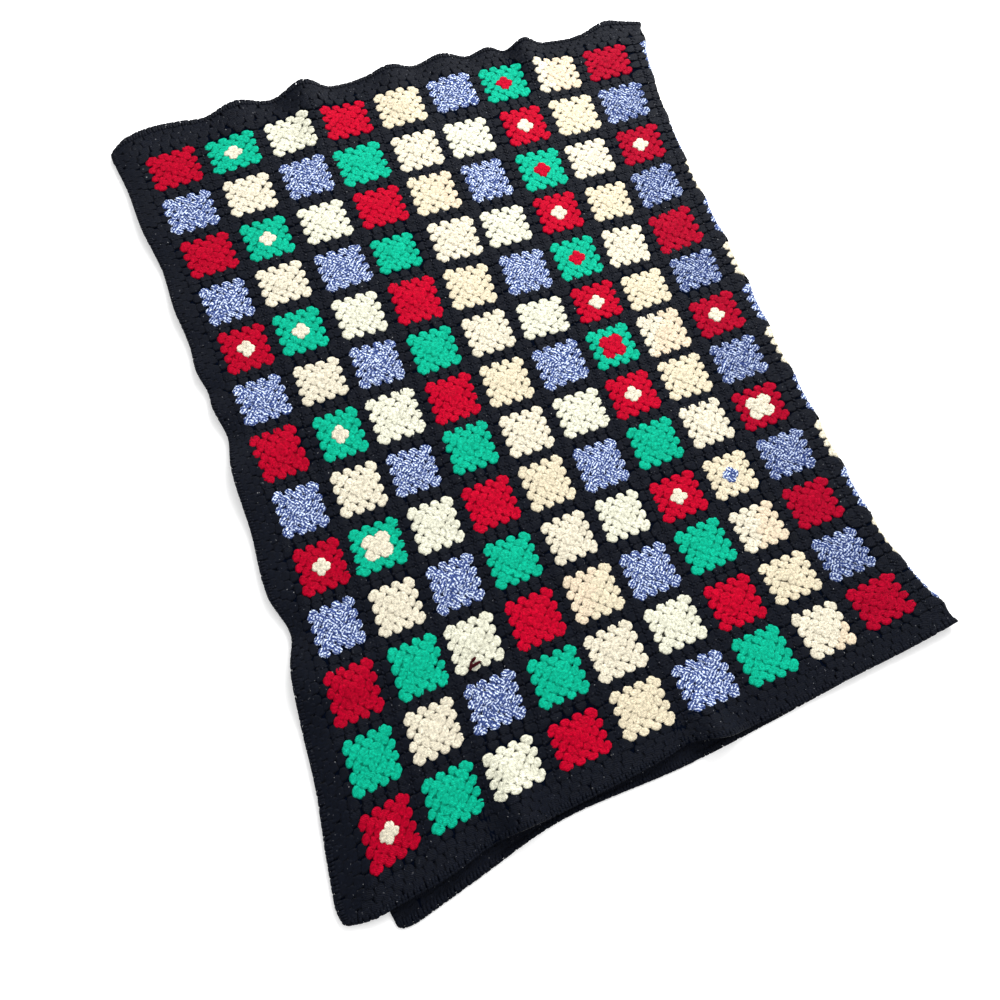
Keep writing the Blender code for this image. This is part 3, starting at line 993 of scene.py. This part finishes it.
def work_rounds(name, material, yarn, rounds, layers, sizes):
    """The clusters of one yarn in the given rounds of every square, as one piece."""
    dice = np.random.default_rng([sizes.seed, len(name)])
    pile = Pile()
    for round_number in rounds:
        of_yarn = [s for s in all_squares() if square_yarn(*s, round_number) == yarn]
        unevenness = square_unevenness(round_number, sizes)
        for layer in layers:
            squares = [s for s in of_yarn if layer.first <= s[0] <= layer.last]
            if squares:
                stitches = round_stitches(squares, round_number)
                shape = layer.shapes[round_number - 1]
                set_down(pile, shape, stitches, lot_and_shade_tints(stitches, yarn), sizes, dice, unevenness)
    return pile.piece(name, material)


# ---------------------------------------------------------------------------------------------
# The edging, the joins, the core and the stray end
# ---------------------------------------------------------------------------------------------


def edging_stitches(round_number, pitch, start):
    """Places along each side of one of the edging's rounds, as along and out of the squares."""
    found = []
    for side, last in enumerate((COLUMNS, ROWS, COLUMNS, ROWS)):
        half = last * ROUNDS_ACROSS_SQUARE / 2 + start
        for along in np.arange(-half, half + pitch / 2, pitch):
            found.append((side, along, round_number - 1))
    return np.array(found)


def set_down_edging(pile, shape, stitches, stray, sizes, dice):
    """Sets a shape down along the edging's sides, which are counted from the blanket's middle."""
    side, along, out = stitches.T
    side = side.astype(int)[:, None]
    half_across = COLUMNS * ROUNDS_ACROSS_SQUARE / 2
    half_down = ROWS * ROUNDS_ACROSS_SQUARE / 2
    sideways, outwards, shade, offsets = uneven_copies(shape, along, out, stray, sizes, dice)
    outwards = outwards + np.where(side % 2 == 0, half_down, half_across)
    across_cloth, down_cloth = turned(sideways, outwards, side)
    tints = np.ones((len(along), 3)) * shade
    pile.add(shape, across_cloth + half_across, down_cloth + half_down, tints, offsets)


def joins(sizes, dice):
    """The slanted stitches along every line where two squares are joined."""
    pile = Pile()
    across_last = COLUMNS * ROUNDS_ACROSS_SQUARE
    down_last = ROWS * ROUNDS_ACROSS_SQUARE
    pitch = ROUNDS_ACROSS_SQUARE / JOINS_ACROSS_SQUARE
    for along_columns, lines, length in ((False, COLUMNS, down_last), (True, ROWS, across_last)):
        seams = np.arange(1, lines) * ROUNDS_ACROSS_SQUARE
        places = np.arange(pitch / 2, length, pitch)
        seam, along = (grid.reshape(-1, 1) for grid in np.meshgrid(seams, places, indexing="ij"))
        copies = len(seam)
        sideways, beside = swung(JOIN, sizes.cluster_turn * dice.standard_normal((copies, 1)))
        sideways = sideways + along
        beside = beside + sizes.cluster_shift / ROUND_HEIGHT * dice.standard_normal((copies, 1))
        tints = np.ones((copies, 3)) * (1 + sizes.cluster_shade * dice.standard_normal((copies, 1)))
        offsets = dice.uniform(0, 1, copies)
        if along_columns:
            pile.add(JOIN, sideways, seam - beside, tints, offsets)
        else:
            pile.add(JOIN, seam + beside, sideways, tints, offsets)
    return pile


def core_stations(last):
    """Stations of the core's cells: its painted hole shade changes at a square's black rounds."""
    inside = [k + share for k in range(last) for share in CORE_SHARES]
    before = [-share for share in reversed(CORE_EDGING_SHARES)]
    after = [last + share for share in CORE_EDGING_SHARES]
    return np.array([*before, *inside, last, *after], float)


def core_gaps(columns, rows, sizes):
    """Which cells of the core are left open: a few of the edging's, so that light shows through."""
    dice = np.random.default_rng([sizes.seed, len(CORE)])
    shape = (len(columns) - 1, len(rows) - 1)
    i, j = np.meshgrid(range(shape[0]), range(shape[1]), indexing="ij")
    in_edging = (columns[:-1, None] < 0) | (columns[:-1, None] >= COLUMNS)
    in_edging = in_edging & (rows[None, :-1] >= 0) | (rows[None, :-1] >= ROWS)
    inner = (i > 0) & (j > 0) & (i < shape[0] - 1) & (j < shape[1] - 1)
    apart = (i % 2 == 1) & (j % 2 == 1)
    return in_edging & inner & apart & (dice.random(shape) < sizes.gap_share)


def core_mesh(sizes, yarns):
    """The cloth behind the stitches: one closed, folded sheet, coloured with the painted shade of the holes.
    """
    columns = core_stations(COLUMNS)
    fine = np.arange(FOLD_STATIONS.first, FOLD_STATIONS.last, FOLD_STATIONS.step)
    columns = np.unique(np.round(np.concatenate([columns, fine]), STATION_DIGITS))
    rows = core_stations(ROWS)
    column, row = np.meshgrid(columns, rows, indexing="ij")
    away = outward(column, row)
    edging_share = np.max([-column, column - COLUMNS, -row, row - ROWS], axis=0)
    dropped = (edging_share > 0) & (edging_share < CORE_RIM_SHARE)
    drop = CORE_EDGING_DROP * dropped * (1 - soft_step(column - COLUMNS / 2))
    middle = (place(column, row) - away * drop[..., None]).reshape(-1, 3)
    offset = away.reshape(-1, 3) * sizes.core_thickness / 2
    count = len(middle)
    down = len(rows)

    i, j = np.meshgrid(np.arange(len(columns) - 1), np.arange(down - 1), indexing="ij")
    first = (i * down + j).ravel()
    cells = np.stack([first, first + 1, first + down + 1, first + down], axis=1)
    open_cells = core_gaps(columns, rows, sizes).ravel()
    upper = cells[~open_cells]
    lower = upper[:, ::-1] + count
    line = np.concatenate(
        [
            np.arange(0, down),
            np.arange(1, len(columns)) * down + down - 1,
            (len(columns) - 1) * down + np.arange(down - 2, -1, -1),
            np.arange(len(columns) - 2, 0, -1) * down,
        ]
    )
    start = np.concatenate([np.roll(line, -1), cells[open_cells].ravel()])
    end = np.concatenate([line, np.roll(cells[open_cells], -1, axis=1).ravel()])
    walls = np.stack([start, end, end + count, start + count], axis=1)

    middle_column = (columns[:-1] + columns[1:]) / 2
    middle_row = (rows[:-1] + rows[1:]) / 2
    shade = np.array([core_shade(c, r, yarns) for c in middle_column for r in middle_row])[~open_cells]
    black = np.repeat([np.array(yarns.black)], len(walls), axis=0)

    data = bpy.data.meshes.new(CORE)
    faces = np.concatenate([upper, lower, walls])
    data.from_pydata(np.concatenate([middle + offset, middle - offset]), [], faces.tolist())
    data.shade_smooth()
    shades = np.concatenate([shade, shade, black])
    add_tints(data, "CORNER", np.repeat(shades, QUAD_CORNERS, axis=0))
    return data


def core_shade(column, row, yarns):
    """The core's colour at a place: the square's own yarn in deep shade, or black under black."""
    share = abs(column % 1 - 0.5), abs(row % 1 - 0.5)
    on_squares = 0 < column < COLUMNS and 0 < row < ROWS
    if not on_squares or max(share) > 0.5 - CORE_SHARES[1]:
        return np.array(yarns.black)
    round_number = 1 if max(share) < 0.5 - CORE_SHARES[2] else CORE_RING_ROUND
    yarn = square_yarn(int(column) + 1, int(row) + 1, round_number)
    # Painted shade: the yarn's colour darkened where the holes lie in shadow.
    return np.array(getattr(yarns, yarn)) * PAINTED_HOLE_SHADES[yarn]


# ---------------------------------------------------------------------------------------------
# Materials
# ---------------------------------------------------------------------------------------------


class Nodes:
    """Short calls that add and link a material's nodes."""

    def __init__(self, name):
        self.material = bpy.data.materials.new(name)
        self.material.use_nodes = True
        self.tree = self.material.node_tree
        self.shader = self.tree.nodes["Principled BSDF"]

    def add(self, kind, settings=(), **inputs):
        node = self.tree.nodes.new(kind)
        for key, value in dict(settings).items():
            setattr(node, key, value)
        for key, value in inputs.items():
            self.set(node.inputs[key.replace("_", " ")], value)
        return node

    def set(self, socket, value):
        if isinstance(value, bpy.types.NodeSocket):
            self.tree.links.new(value, socket)
        else:
            socket.default_value = value

    def sum(self, operation, first, second=0.0):
        node = self.tree.nodes.new("ShaderNodeMath")
        node.operation = operation
        self.set(node.inputs[0], first)
        self.set(node.inputs[1], second)
        return node.outputs[0]

    def noise(self, scale, detail=2.0):
        place_node = self.add("ShaderNodeTexCoord")
        node = self.add("ShaderNodeTexNoise", Vector=place_node.outputs["Object"], Scale=scale, Detail=detail)
        return node.outputs["Fac"]

    def spread(self, value, low, high):
        """Takes a 0 to 1 value to a range."""
        return self.sum("ADD", self.sum("MULTIPLY", value, high - low), low)

    def mix(self, blend, factor, first, second):
        node = self.tree.nodes.new("ShaderNodeMix")
        node.data_type = "RGBA"
        node.blend_type = blend
        self.set(node.inputs["Factor"], factor)
        self.set(node.inputs["A"], first)
        self.set(node.inputs["B"], second)
        return node.outputs["Result"]

    def twist(self, pitch, plies, slubs):
        """The slanted ridges of plied yarn, -1 to 1, from the map that runs along each strand."""
        map_node = self.add("ShaderNodeUVMap", {"uv_map": STRAND_MAP})
        parts = self.add("ShaderNodeSeparateXYZ", Vector=map_node.outputs["UV"])
        along = self.sum("MULTIPLY", parts.outputs["X"], 2 * pi / pitch)
        around = self.sum("MULTIPLY", parts.outputs["Y"], 2 * pi * plies)
        uneven = self.sum("ADD", around, self.spread(slubs, -SLUB_SLIP, SLUB_SLIP))
        return self.sum("SINE", self.sum("ADD", along, uneven))

    def tint(self):
        return self.add("ShaderNodeAttribute", {"attribute_name": TINT}).outputs["Color"]


def grey(value):
    return (value, value, value, 1.0)


def yarn_material(name, colour, yarns, gloss, ply=None, light_specks=0.0):
    """Plied acrylic yarn: uneven dye, painted light and shade on its loops and plies, twist, fuzz and a soft
    sheen. A marl has a ply of another colour.
    """
    nodes = Nodes(name)
    slubs = nodes.noise(SLUB_SCALE)
    fibres = nodes.noise(FIBRE_SCALE)
    glint_spots = nodes.noise(GLINT_SCALE)
    twist = nodes.twist(yarns.twist_pitch, PLIES, slubs)
    base = (*colour, 1.0)
    if ply is not None:
        streak = nodes.twist(yarns.marl_pitch, MARL_PLIES, slubs)
        streak = nodes.sum("ADD", streak, nodes.spread(nodes.noise(MARL_SCALE), -MARL_FRAYING, MARL_FRAYING))
        streak = nodes.add(
            "ShaderNodeMapRange",
            Value=streak,
            From_Min=MARL_SHARE - MARL_SOFTNESS,
            From_Max=MARL_SHARE + MARL_SOFTNESS,
        ).outputs["Result"]
        base = nodes.mix("MIX", streak, base, (*ply, 1.0))
    shade = nodes.sum(
        "MULTIPLY",
        nodes.spread(fibres, 1 - FIBRE_SHADE, 1 + FIBRE_SHADE),
        nodes.spread(nodes.noise(PATCH_SCALE), 1 - PATCH_SHADE, 1 + PATCH_SHADE),
    )
    # Painted highlights and shade where single loops catch the light.
    shade = nodes.sum("MULTIPLY", shade, nodes.spread(glint_spots, 1 - PAINTED_GLINT_SHADE, 1 + PAINTED_GLINT_SHADE))
    # Painted highlights and shade along the crests of the plies.
    shade = nodes.sum("MULTIPLY", shade, nodes.spread(twist, 1.0, 1 + PAINTED_TWIST_LIGHT))
    tinted = nodes.mix("MULTIPLY", 1.0, base, nodes.tint())
    tinted = nodes.mix("MULTIPLY", 1.0, tinted, shade)
    # Light grey specks where the spots' noise is highest.
    if light_specks:
        specks = nodes.add("ShaderNodeMapRange", Value=glint_spots, From_Min=SPECKS_FROM, From_Max=SPECKS_TO)
        tinted = nodes.mix("MIX", specks.outputs["Result"], tinted, grey(light_specks))
    nodes.set(nodes.shader.inputs["Base Color"], tinted)
    twist_height = nodes.sum("MULTIPLY", twist, TWIST_HEIGHT)
    height = nodes.sum("ADD", twist_height, nodes.sum("MULTIPLY", fibres, FIBRE_HEIGHT))
    bump = nodes.add("ShaderNodeBump", Height=height, Strength=1.0, Distance=1.0)
    nodes.set(nodes.shader.inputs["Normal"], bump.outputs["Normal"])
    nodes.shader.inputs["Roughness"].default_value = yarns.roughness
    nodes.shader.inputs["Sheen Weight"].default_value = yarns.sheen
    nodes.shader.inputs["Sheen Roughness"].default_value = SHEEN_ROUGHNESS
    nodes.shader.inputs["Specular IOR Level"].default_value = gloss
    return nodes.material


def core_material(yarns):
    """Painted shade: the colour of shaded yarn at the bottom of the holes, laid on the core."""
    nodes = Nodes("Shaded yarn")
    weave = nodes.noise(FIBRE_SCALE)
    shade = nodes.spread(weave, 1 - CORE_SHADE_SPREAD, 1 + CORE_SHADE_SPREAD)
    nodes.set(nodes.shader.inputs["Base Color"], nodes.mix("MULTIPLY", 1.0, nodes.tint(), shade))
    bump = nodes.add("ShaderNodeBump", Height=weave, Strength=1.0, Distance=FIBRE_HEIGHT)
    nodes.set(nodes.shader.inputs["Normal"], bump.outputs["Normal"])
    nodes.shader.inputs["Roughness"].default_value = 1.0
    nodes.shader.inputs["Specular IOR Level"].default_value = 0.0
    return nodes.material


def floor_material(studio):
    """The pale floor, which is a little uneven and throws some light up."""
    nodes = Nodes("Studio floor")
    low = [c * FLOOR_UNEVENNESS for c in studio.floor_colour]
    marks = nodes.mix("MIX", nodes.noise(FLOOR_SCALE), (*low, 1.0), (*studio.floor_colour, 1.0))
    nodes.set(nodes.shader.inputs["Base Color"], marks)
    nodes.shader.inputs["Roughness"].default_value = FLOOR_ROUGHNESS
    nodes.shader.inputs["Specular IOR Level"].default_value = FLOOR_GLOSS
    nodes.shader.inputs["Emission Color"].default_value = grey(1.0)
    nodes.shader.inputs["Emission Strength"].default_value = studio.floor_glow
    return nodes.material


# ---------------------------------------------------------------------------------------------
# What a user can change
# ---------------------------------------------------------------------------------------------


def length(name, description, default):
    return FloatProperty(name=name, description=description, default=default, min=0.0, unit="LENGTH")


def share(name, description, default):
    return FloatProperty(name=name, description=description, default=default, min=0.0)


def colour(name, description, default):
    return FloatVectorProperty(
        name=name, description=description, default=default, size=3, min=0.0, max=1.0, subtype="COLOR"
    )


class BlanketSizes(bpy.types.PropertyGroup):
    """Sizes of the cloth's core, and how unlike one another handmade stitches are."""

    core_thickness: length("Core thickness", "Thickness of the cloth behind the stitches", 0.001)
    cluster_shift: length("Cluster shift", "How far a cluster strays from its place", 0.0005)
    cluster_turn: FloatProperty(
        name="Cluster turn", description="How far a cluster is turned", default=radians(5.0), subtype="ANGLE"
    )
    cluster_growth: share("Cluster growth", "How much wider or narrower a cluster is, as a share", 0.05)
    cluster_shade: share("Cluster shade", "How much lighter or darker a cluster is, as a share", 0.03)
    square_turn: FloatProperty(
        name="Square turn", description="How far a square is turned", default=radians(1.5), subtype="ANGLE"
    )
    square_growth: share("Square growth", "How much larger or smaller a square is, as a share", 0.025)
    square_shift: length("Square shift", "How far a square's middle strays from its place", 0.0018)
    gap_share: share("Gap share", "Share of the edging's gaps that light shows through", 0.06)
    seed: IntProperty(name="Seed", description="Chooses another set of uneven stitches", default=11, min=0)


class BlanketYarns(bpy.types.PropertyGroup):
    """The yarns' colours and finish."""

    red: colour("Red", "Colour of the red yarn", (0.405, 0.0002, 0.0165))
    green: colour("Green", "Colour of the green yarn", (0.0018, 0.355, 0.215))
    cream: colour("Cream", "Colour of the cream yarn", (0.65, 0.597, 0.468))
    ivory: colour("Ivory", "Colour of the ivory yarn", (0.645, 0.637, 0.51))
    blue: colour("Blue ply", "Colour of the marl's blue ply", (0.038, 0.066, 0.215))
    blue_white: colour("White ply", "Colour of the marl's white ply", (0.57, 0.655, 0.80))
    black: colour("Black", "Colour of the black yarn", (0.0012, 0.0024, 0.0065))
    stray: colour("Stray end", "Colour of the stray end of yarn", (0.035, 0.003, 0.005))
    roughness: share("Roughness", "Roughness of the yarn", 0.6)
    gloss: share("Gloss", "Specular level of the coloured yarns", 0.03)
    black_gloss: share("Black gloss", "Specular level of the black yarn", 0.075)
    # Light grey specks on the black yarn, where its spot noise is highest.
    light_specks: share("Lint", "How light the specks of lint on the black yarn are", 0.35)
    sheen: share("Sheen", "Soft sheen of the yarn's fuzz", 0.01)
    twist_pitch: length("Twist pitch", "Length of yarn in which a ply repeats", 0.0035)
    marl_pitch: length("Marl pitch", "Length of yarn in which the marl's blue ply repeats", 0.007)


class BlanketStudio(bpy.types.PropertyGroup):
    """The floor, the lights and the lens."""

    floor_colour: colour("Floor", "Colour of the floor", (0.97, 0.97, 0.97))
    floor_glow: share("Floor glow", "Strength of the light that comes up through the floor", 0.15)
    sky_strength: share("Sky strength", "Strength of the even light from all round", 0.97)
    window_power: FloatProperty(
        name="Window power", description="Power of the large soft light", default=170.0, min=0.0, unit="POWER"
    )
    lens: FloatProperty(name="Lens", description="Focal length of the camera, in millimetres", default=36.0)


# ---------------------------------------------------------------------------------------------
# Operators, one for each group of pieces
# ---------------------------------------------------------------------------------------------


class WorkColouredRounds(bpy.types.Operator):
    """Crochets the coloured rounds of every square, one piece for each yarn"""

    bl_idname = "blanket.work_coloured_rounds"
    bl_label = "Coloured rounds"

    def execute(self, context):
        sizes, yarns = context.scene.blanket_sizes, context.scene.blanket_yarns
        for yarn in COLOURED_YARNS:
            ply = yarns.blue_white if yarn.name == "blue" else None
            material = yarn_material(yarn.material, getattr(yarns, yarn.name), yarns, yarns.gloss, ply)
            rounds = range(1, COLOURED_ROUNDS + 1)
            piece = work_rounds(f"{yarn.name}_rounds", material, yarn.name, rounds, LAYERS, sizes)
        return {"FINISHED"}


class WorkBlackRounds(bpy.types.Operator):
    """Crochets the last, black round of every square"""

    bl_idname = "blanket.work_black_rounds"
    bl_label = "Black rounds"

    def execute(self, context):
        sizes, yarns = context.scene.blanket_sizes, context.scene.blanket_yarns
        material = yarn_material(BLACK_MATERIAL, yarns.black, yarns, yarns.black_gloss, light_specks=yarns.light_specks)
        for layer in LAYERS:
            name = f"black_rounds_{layer.name}"
            piece = work_rounds(name, material, "black", (SQUARE_ROUNDS,), (layer,), sizes)
        return {"FINISHED"}


class JoinSquares(bpy.types.Operator):
    """Joins the squares with slanted black stitches"""

    bl_idname = "blanket.join_squares"
    bl_label = "Joins"

    def execute(self, context):
        sizes = context.scene.blanket_sizes
        pile = joins(sizes, np.random.default_rng([sizes.seed, len("joins")]))
        pile.piece("joins", bpy.data.materials[BLACK_MATERIAL])
        return {"FINISHED"}


class WorkEdging(bpy.types.Operator):
    """Crochets the black edging: three open rounds of clusters and a tight last round"""

    bl_idname = "blanket.work_edging"
    bl_label = "Edging"

    def execute(self, context):
        sizes = context.scene.blanket_sizes
        dice = np.random.default_rng([sizes.seed, len("edging")])
        pile = Pile()
        for round_number in range(1, EDGING_ROUNDS):
            stitches = edging_stitches(round_number, EDGING_PITCH, round_number - 1)
            set_down_edging(pile, EDGING_CLUSTER, stitches, EDGING_STRAY, sizes, dice)
        rim = edging_stitches(EDGING_ROUNDS, RIM_PITCH, EDGING_ROUNDS - RIM_INSET)
        set_down_edging(pile, RIM, rim, 1.0, sizes, dice)
        piece = pile.piece("edging_rounds", bpy.data.materials[BLACK_MATERIAL])
        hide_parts("edging")
        return {"FINISHED"}


class LeaveStrayEnd(bpy.types.Operator):
    """Leaves the forked end of dark red yarn that hangs out of one square"""

    bl_idname = "blanket.leave_stray_end"
    bl_label = "Stray end"

    def execute(self, context):
        yarns = context.scene.blanket_yarns
        pile = Pile()
        lines = []
        for line in STRAY_LINES:
            start = np.array([line.column, line.row]) * ROUNDS_ACROSS_SQUARE
            end = np.array([line.end_column, line.end_row]) * ROUNDS_ACROSS_SQUARE
            points = []
            for k, shape in enumerate(STRAY_SHAPE):
                at = start + (end - start) * shape.along
                points.append((at[0], -at[1], shape.height, shape.radius))
            lines.append(strand(points))
        shape = template(*lines)
        across_cloth, down_cloth = shape.points[None, :, 0], -shape.points[None, :, 1]
        pile.add(shape, across_cloth, down_cloth, np.ones((1, 3)), np.zeros(1))
        piece = pile.piece("stray_end", yarn_material("Dark red yarn", yarns.stray, yarns, yarns.gloss))
        return {"FINISHED"}


class LayCore(bpy.types.Operator):
    """Lays the thin cloth behind the stitches, coloured with the painted shade of the holes: the sheet that
    carries all the other pieces
    """

    bl_idname = "blanket.lay_core"
    bl_label = "Core"

    def execute(self, context):
        sizes, yarns = context.scene.blanket_sizes, context.scene.blanket_yarns
        core = finished_piece(CORE, core_mesh(sizes, yarns), core_material(yarns))
        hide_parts("patchwork")
        return {"FINISHED"}


class SetStage(bpy.types.Operator):
    """Sets the floor, the soft lights and the camera"""

    bl_idname = "blanket.set_stage"
    bl_label = "Stage"

    def execute(self, context):
        studio = context.scene.blanket_studio
        bpy.ops.object.select_all(action="DESELECT")
        bpy.ops.mesh.primitive_plane_add(size=FLOOR_SIZE, location=(0.0, 0.0, 0.0))
        floor = context.active_object
        floor.name = "floor"
        floor.data.materials.append(floor_material(studio))

        world = bpy.data.worlds.new("Soft sky")
        world.use_nodes = True
        sky = world.node_tree.nodes["Background"]
        sky.inputs["Color"].default_value = grey(1.0)
        sky.inputs["Strength"].default_value = studio.sky_strength
        context.scene.world = world

        window = bpy.data.lights.new("window", "AREA")
        window.shape = "SQUARE"
        window.size = WINDOW_SIZE
        window.energy = studio.window_power
        self.aimed(context, "window", window, WINDOW_PLACE, WINDOW_AIM)

        lens = bpy.data.cameras.new("camera")
        lens.lens = studio.lens
        lens.sensor_width = SENSOR_WIDTH
        camera = self.aimed(context, "camera", lens, CAMERA_PLACE, CAMERA_AIM, CAMERA_ROLL)
        context.scene.camera = camera
        context.scene.view_settings.view_transform = "Standard"
        return {"FINISHED"}

    def aimed(self, context, name, data, from_place, at_place, roll=0.0):
        """An object at one place that looks at another, with its right side tipped up by the roll."""
        item = bpy.data.objects.new(name, data)
        turn = (Vector(at_place) - Vector(from_place)).to_track_quat("-Z", "Y").to_matrix()
        turn = turn @ Matrix.Rotation(roll, 3, "Z")
        item.matrix_world = Matrix.Translation(from_place) @ turn.to_4x4()
        context.scene.collection.objects.link(item)
        return item


OPERATORS = (
    WorkColouredRounds,
    WorkBlackRounds,
    JoinSquares,
    WorkEdging,
    LeaveStrayEnd,
    LayCore,
    SetStage,
)


class BlanketPanel(bpy.types.Panel):
    """Lists the blanket's sizes and yarns, and the operators that build it"""

    bl_idname = "VIEW3D_PT_granny_square_blanket"
    bl_label = "Granny square blanket"
    bl_space_type = "VIEW_3D"
    bl_region_type = "UI"
    bl_category = "Blanket"

    def draw(self, context):
        for group in (context.scene.blanket_sizes, context.scene.blanket_yarns, context.scene.blanket_studio):
            box = self.layout.box()
            for name in type(group).__annotations__:
                box.prop(group, name)
        for operator in OPERATORS:
            self.layout.operator(operator.bl_idname)


GROUPS = {
    "blanket_sizes": BlanketSizes,
    "blanket_yarns": BlanketYarns,
    "blanket_studio": BlanketStudio,
}


def register():
    for item in (*GROUPS.values(), *OPERATORS, BlanketPanel):
        bpy.utils.register_class(item)
    for name, group in GROUPS.items():
        setattr(bpy.types.Scene, name, PointerProperty(type=group))


def unregister():
    for name in GROUPS:
        delattr(bpy.types.Scene, name)
    for item in reversed((*GROUPS.values(), *OPERATORS, BlanketPanel)):
        bpy.utils.unregister_class(item)


def main():
    register()
    bpy.ops.blanket.work_coloured_rounds()
    bpy.ops.blanket.work_black_rounds()
    bpy.ops.blanket.join_squares()
    bpy.ops.blanket.work_edging()
    bpy.ops.blanket.leave_stray_end()
    bpy.ops.blanket.lay_core()
    bpy.ops.blanket.set_stage()


if __name__ == "__main__":
    main()
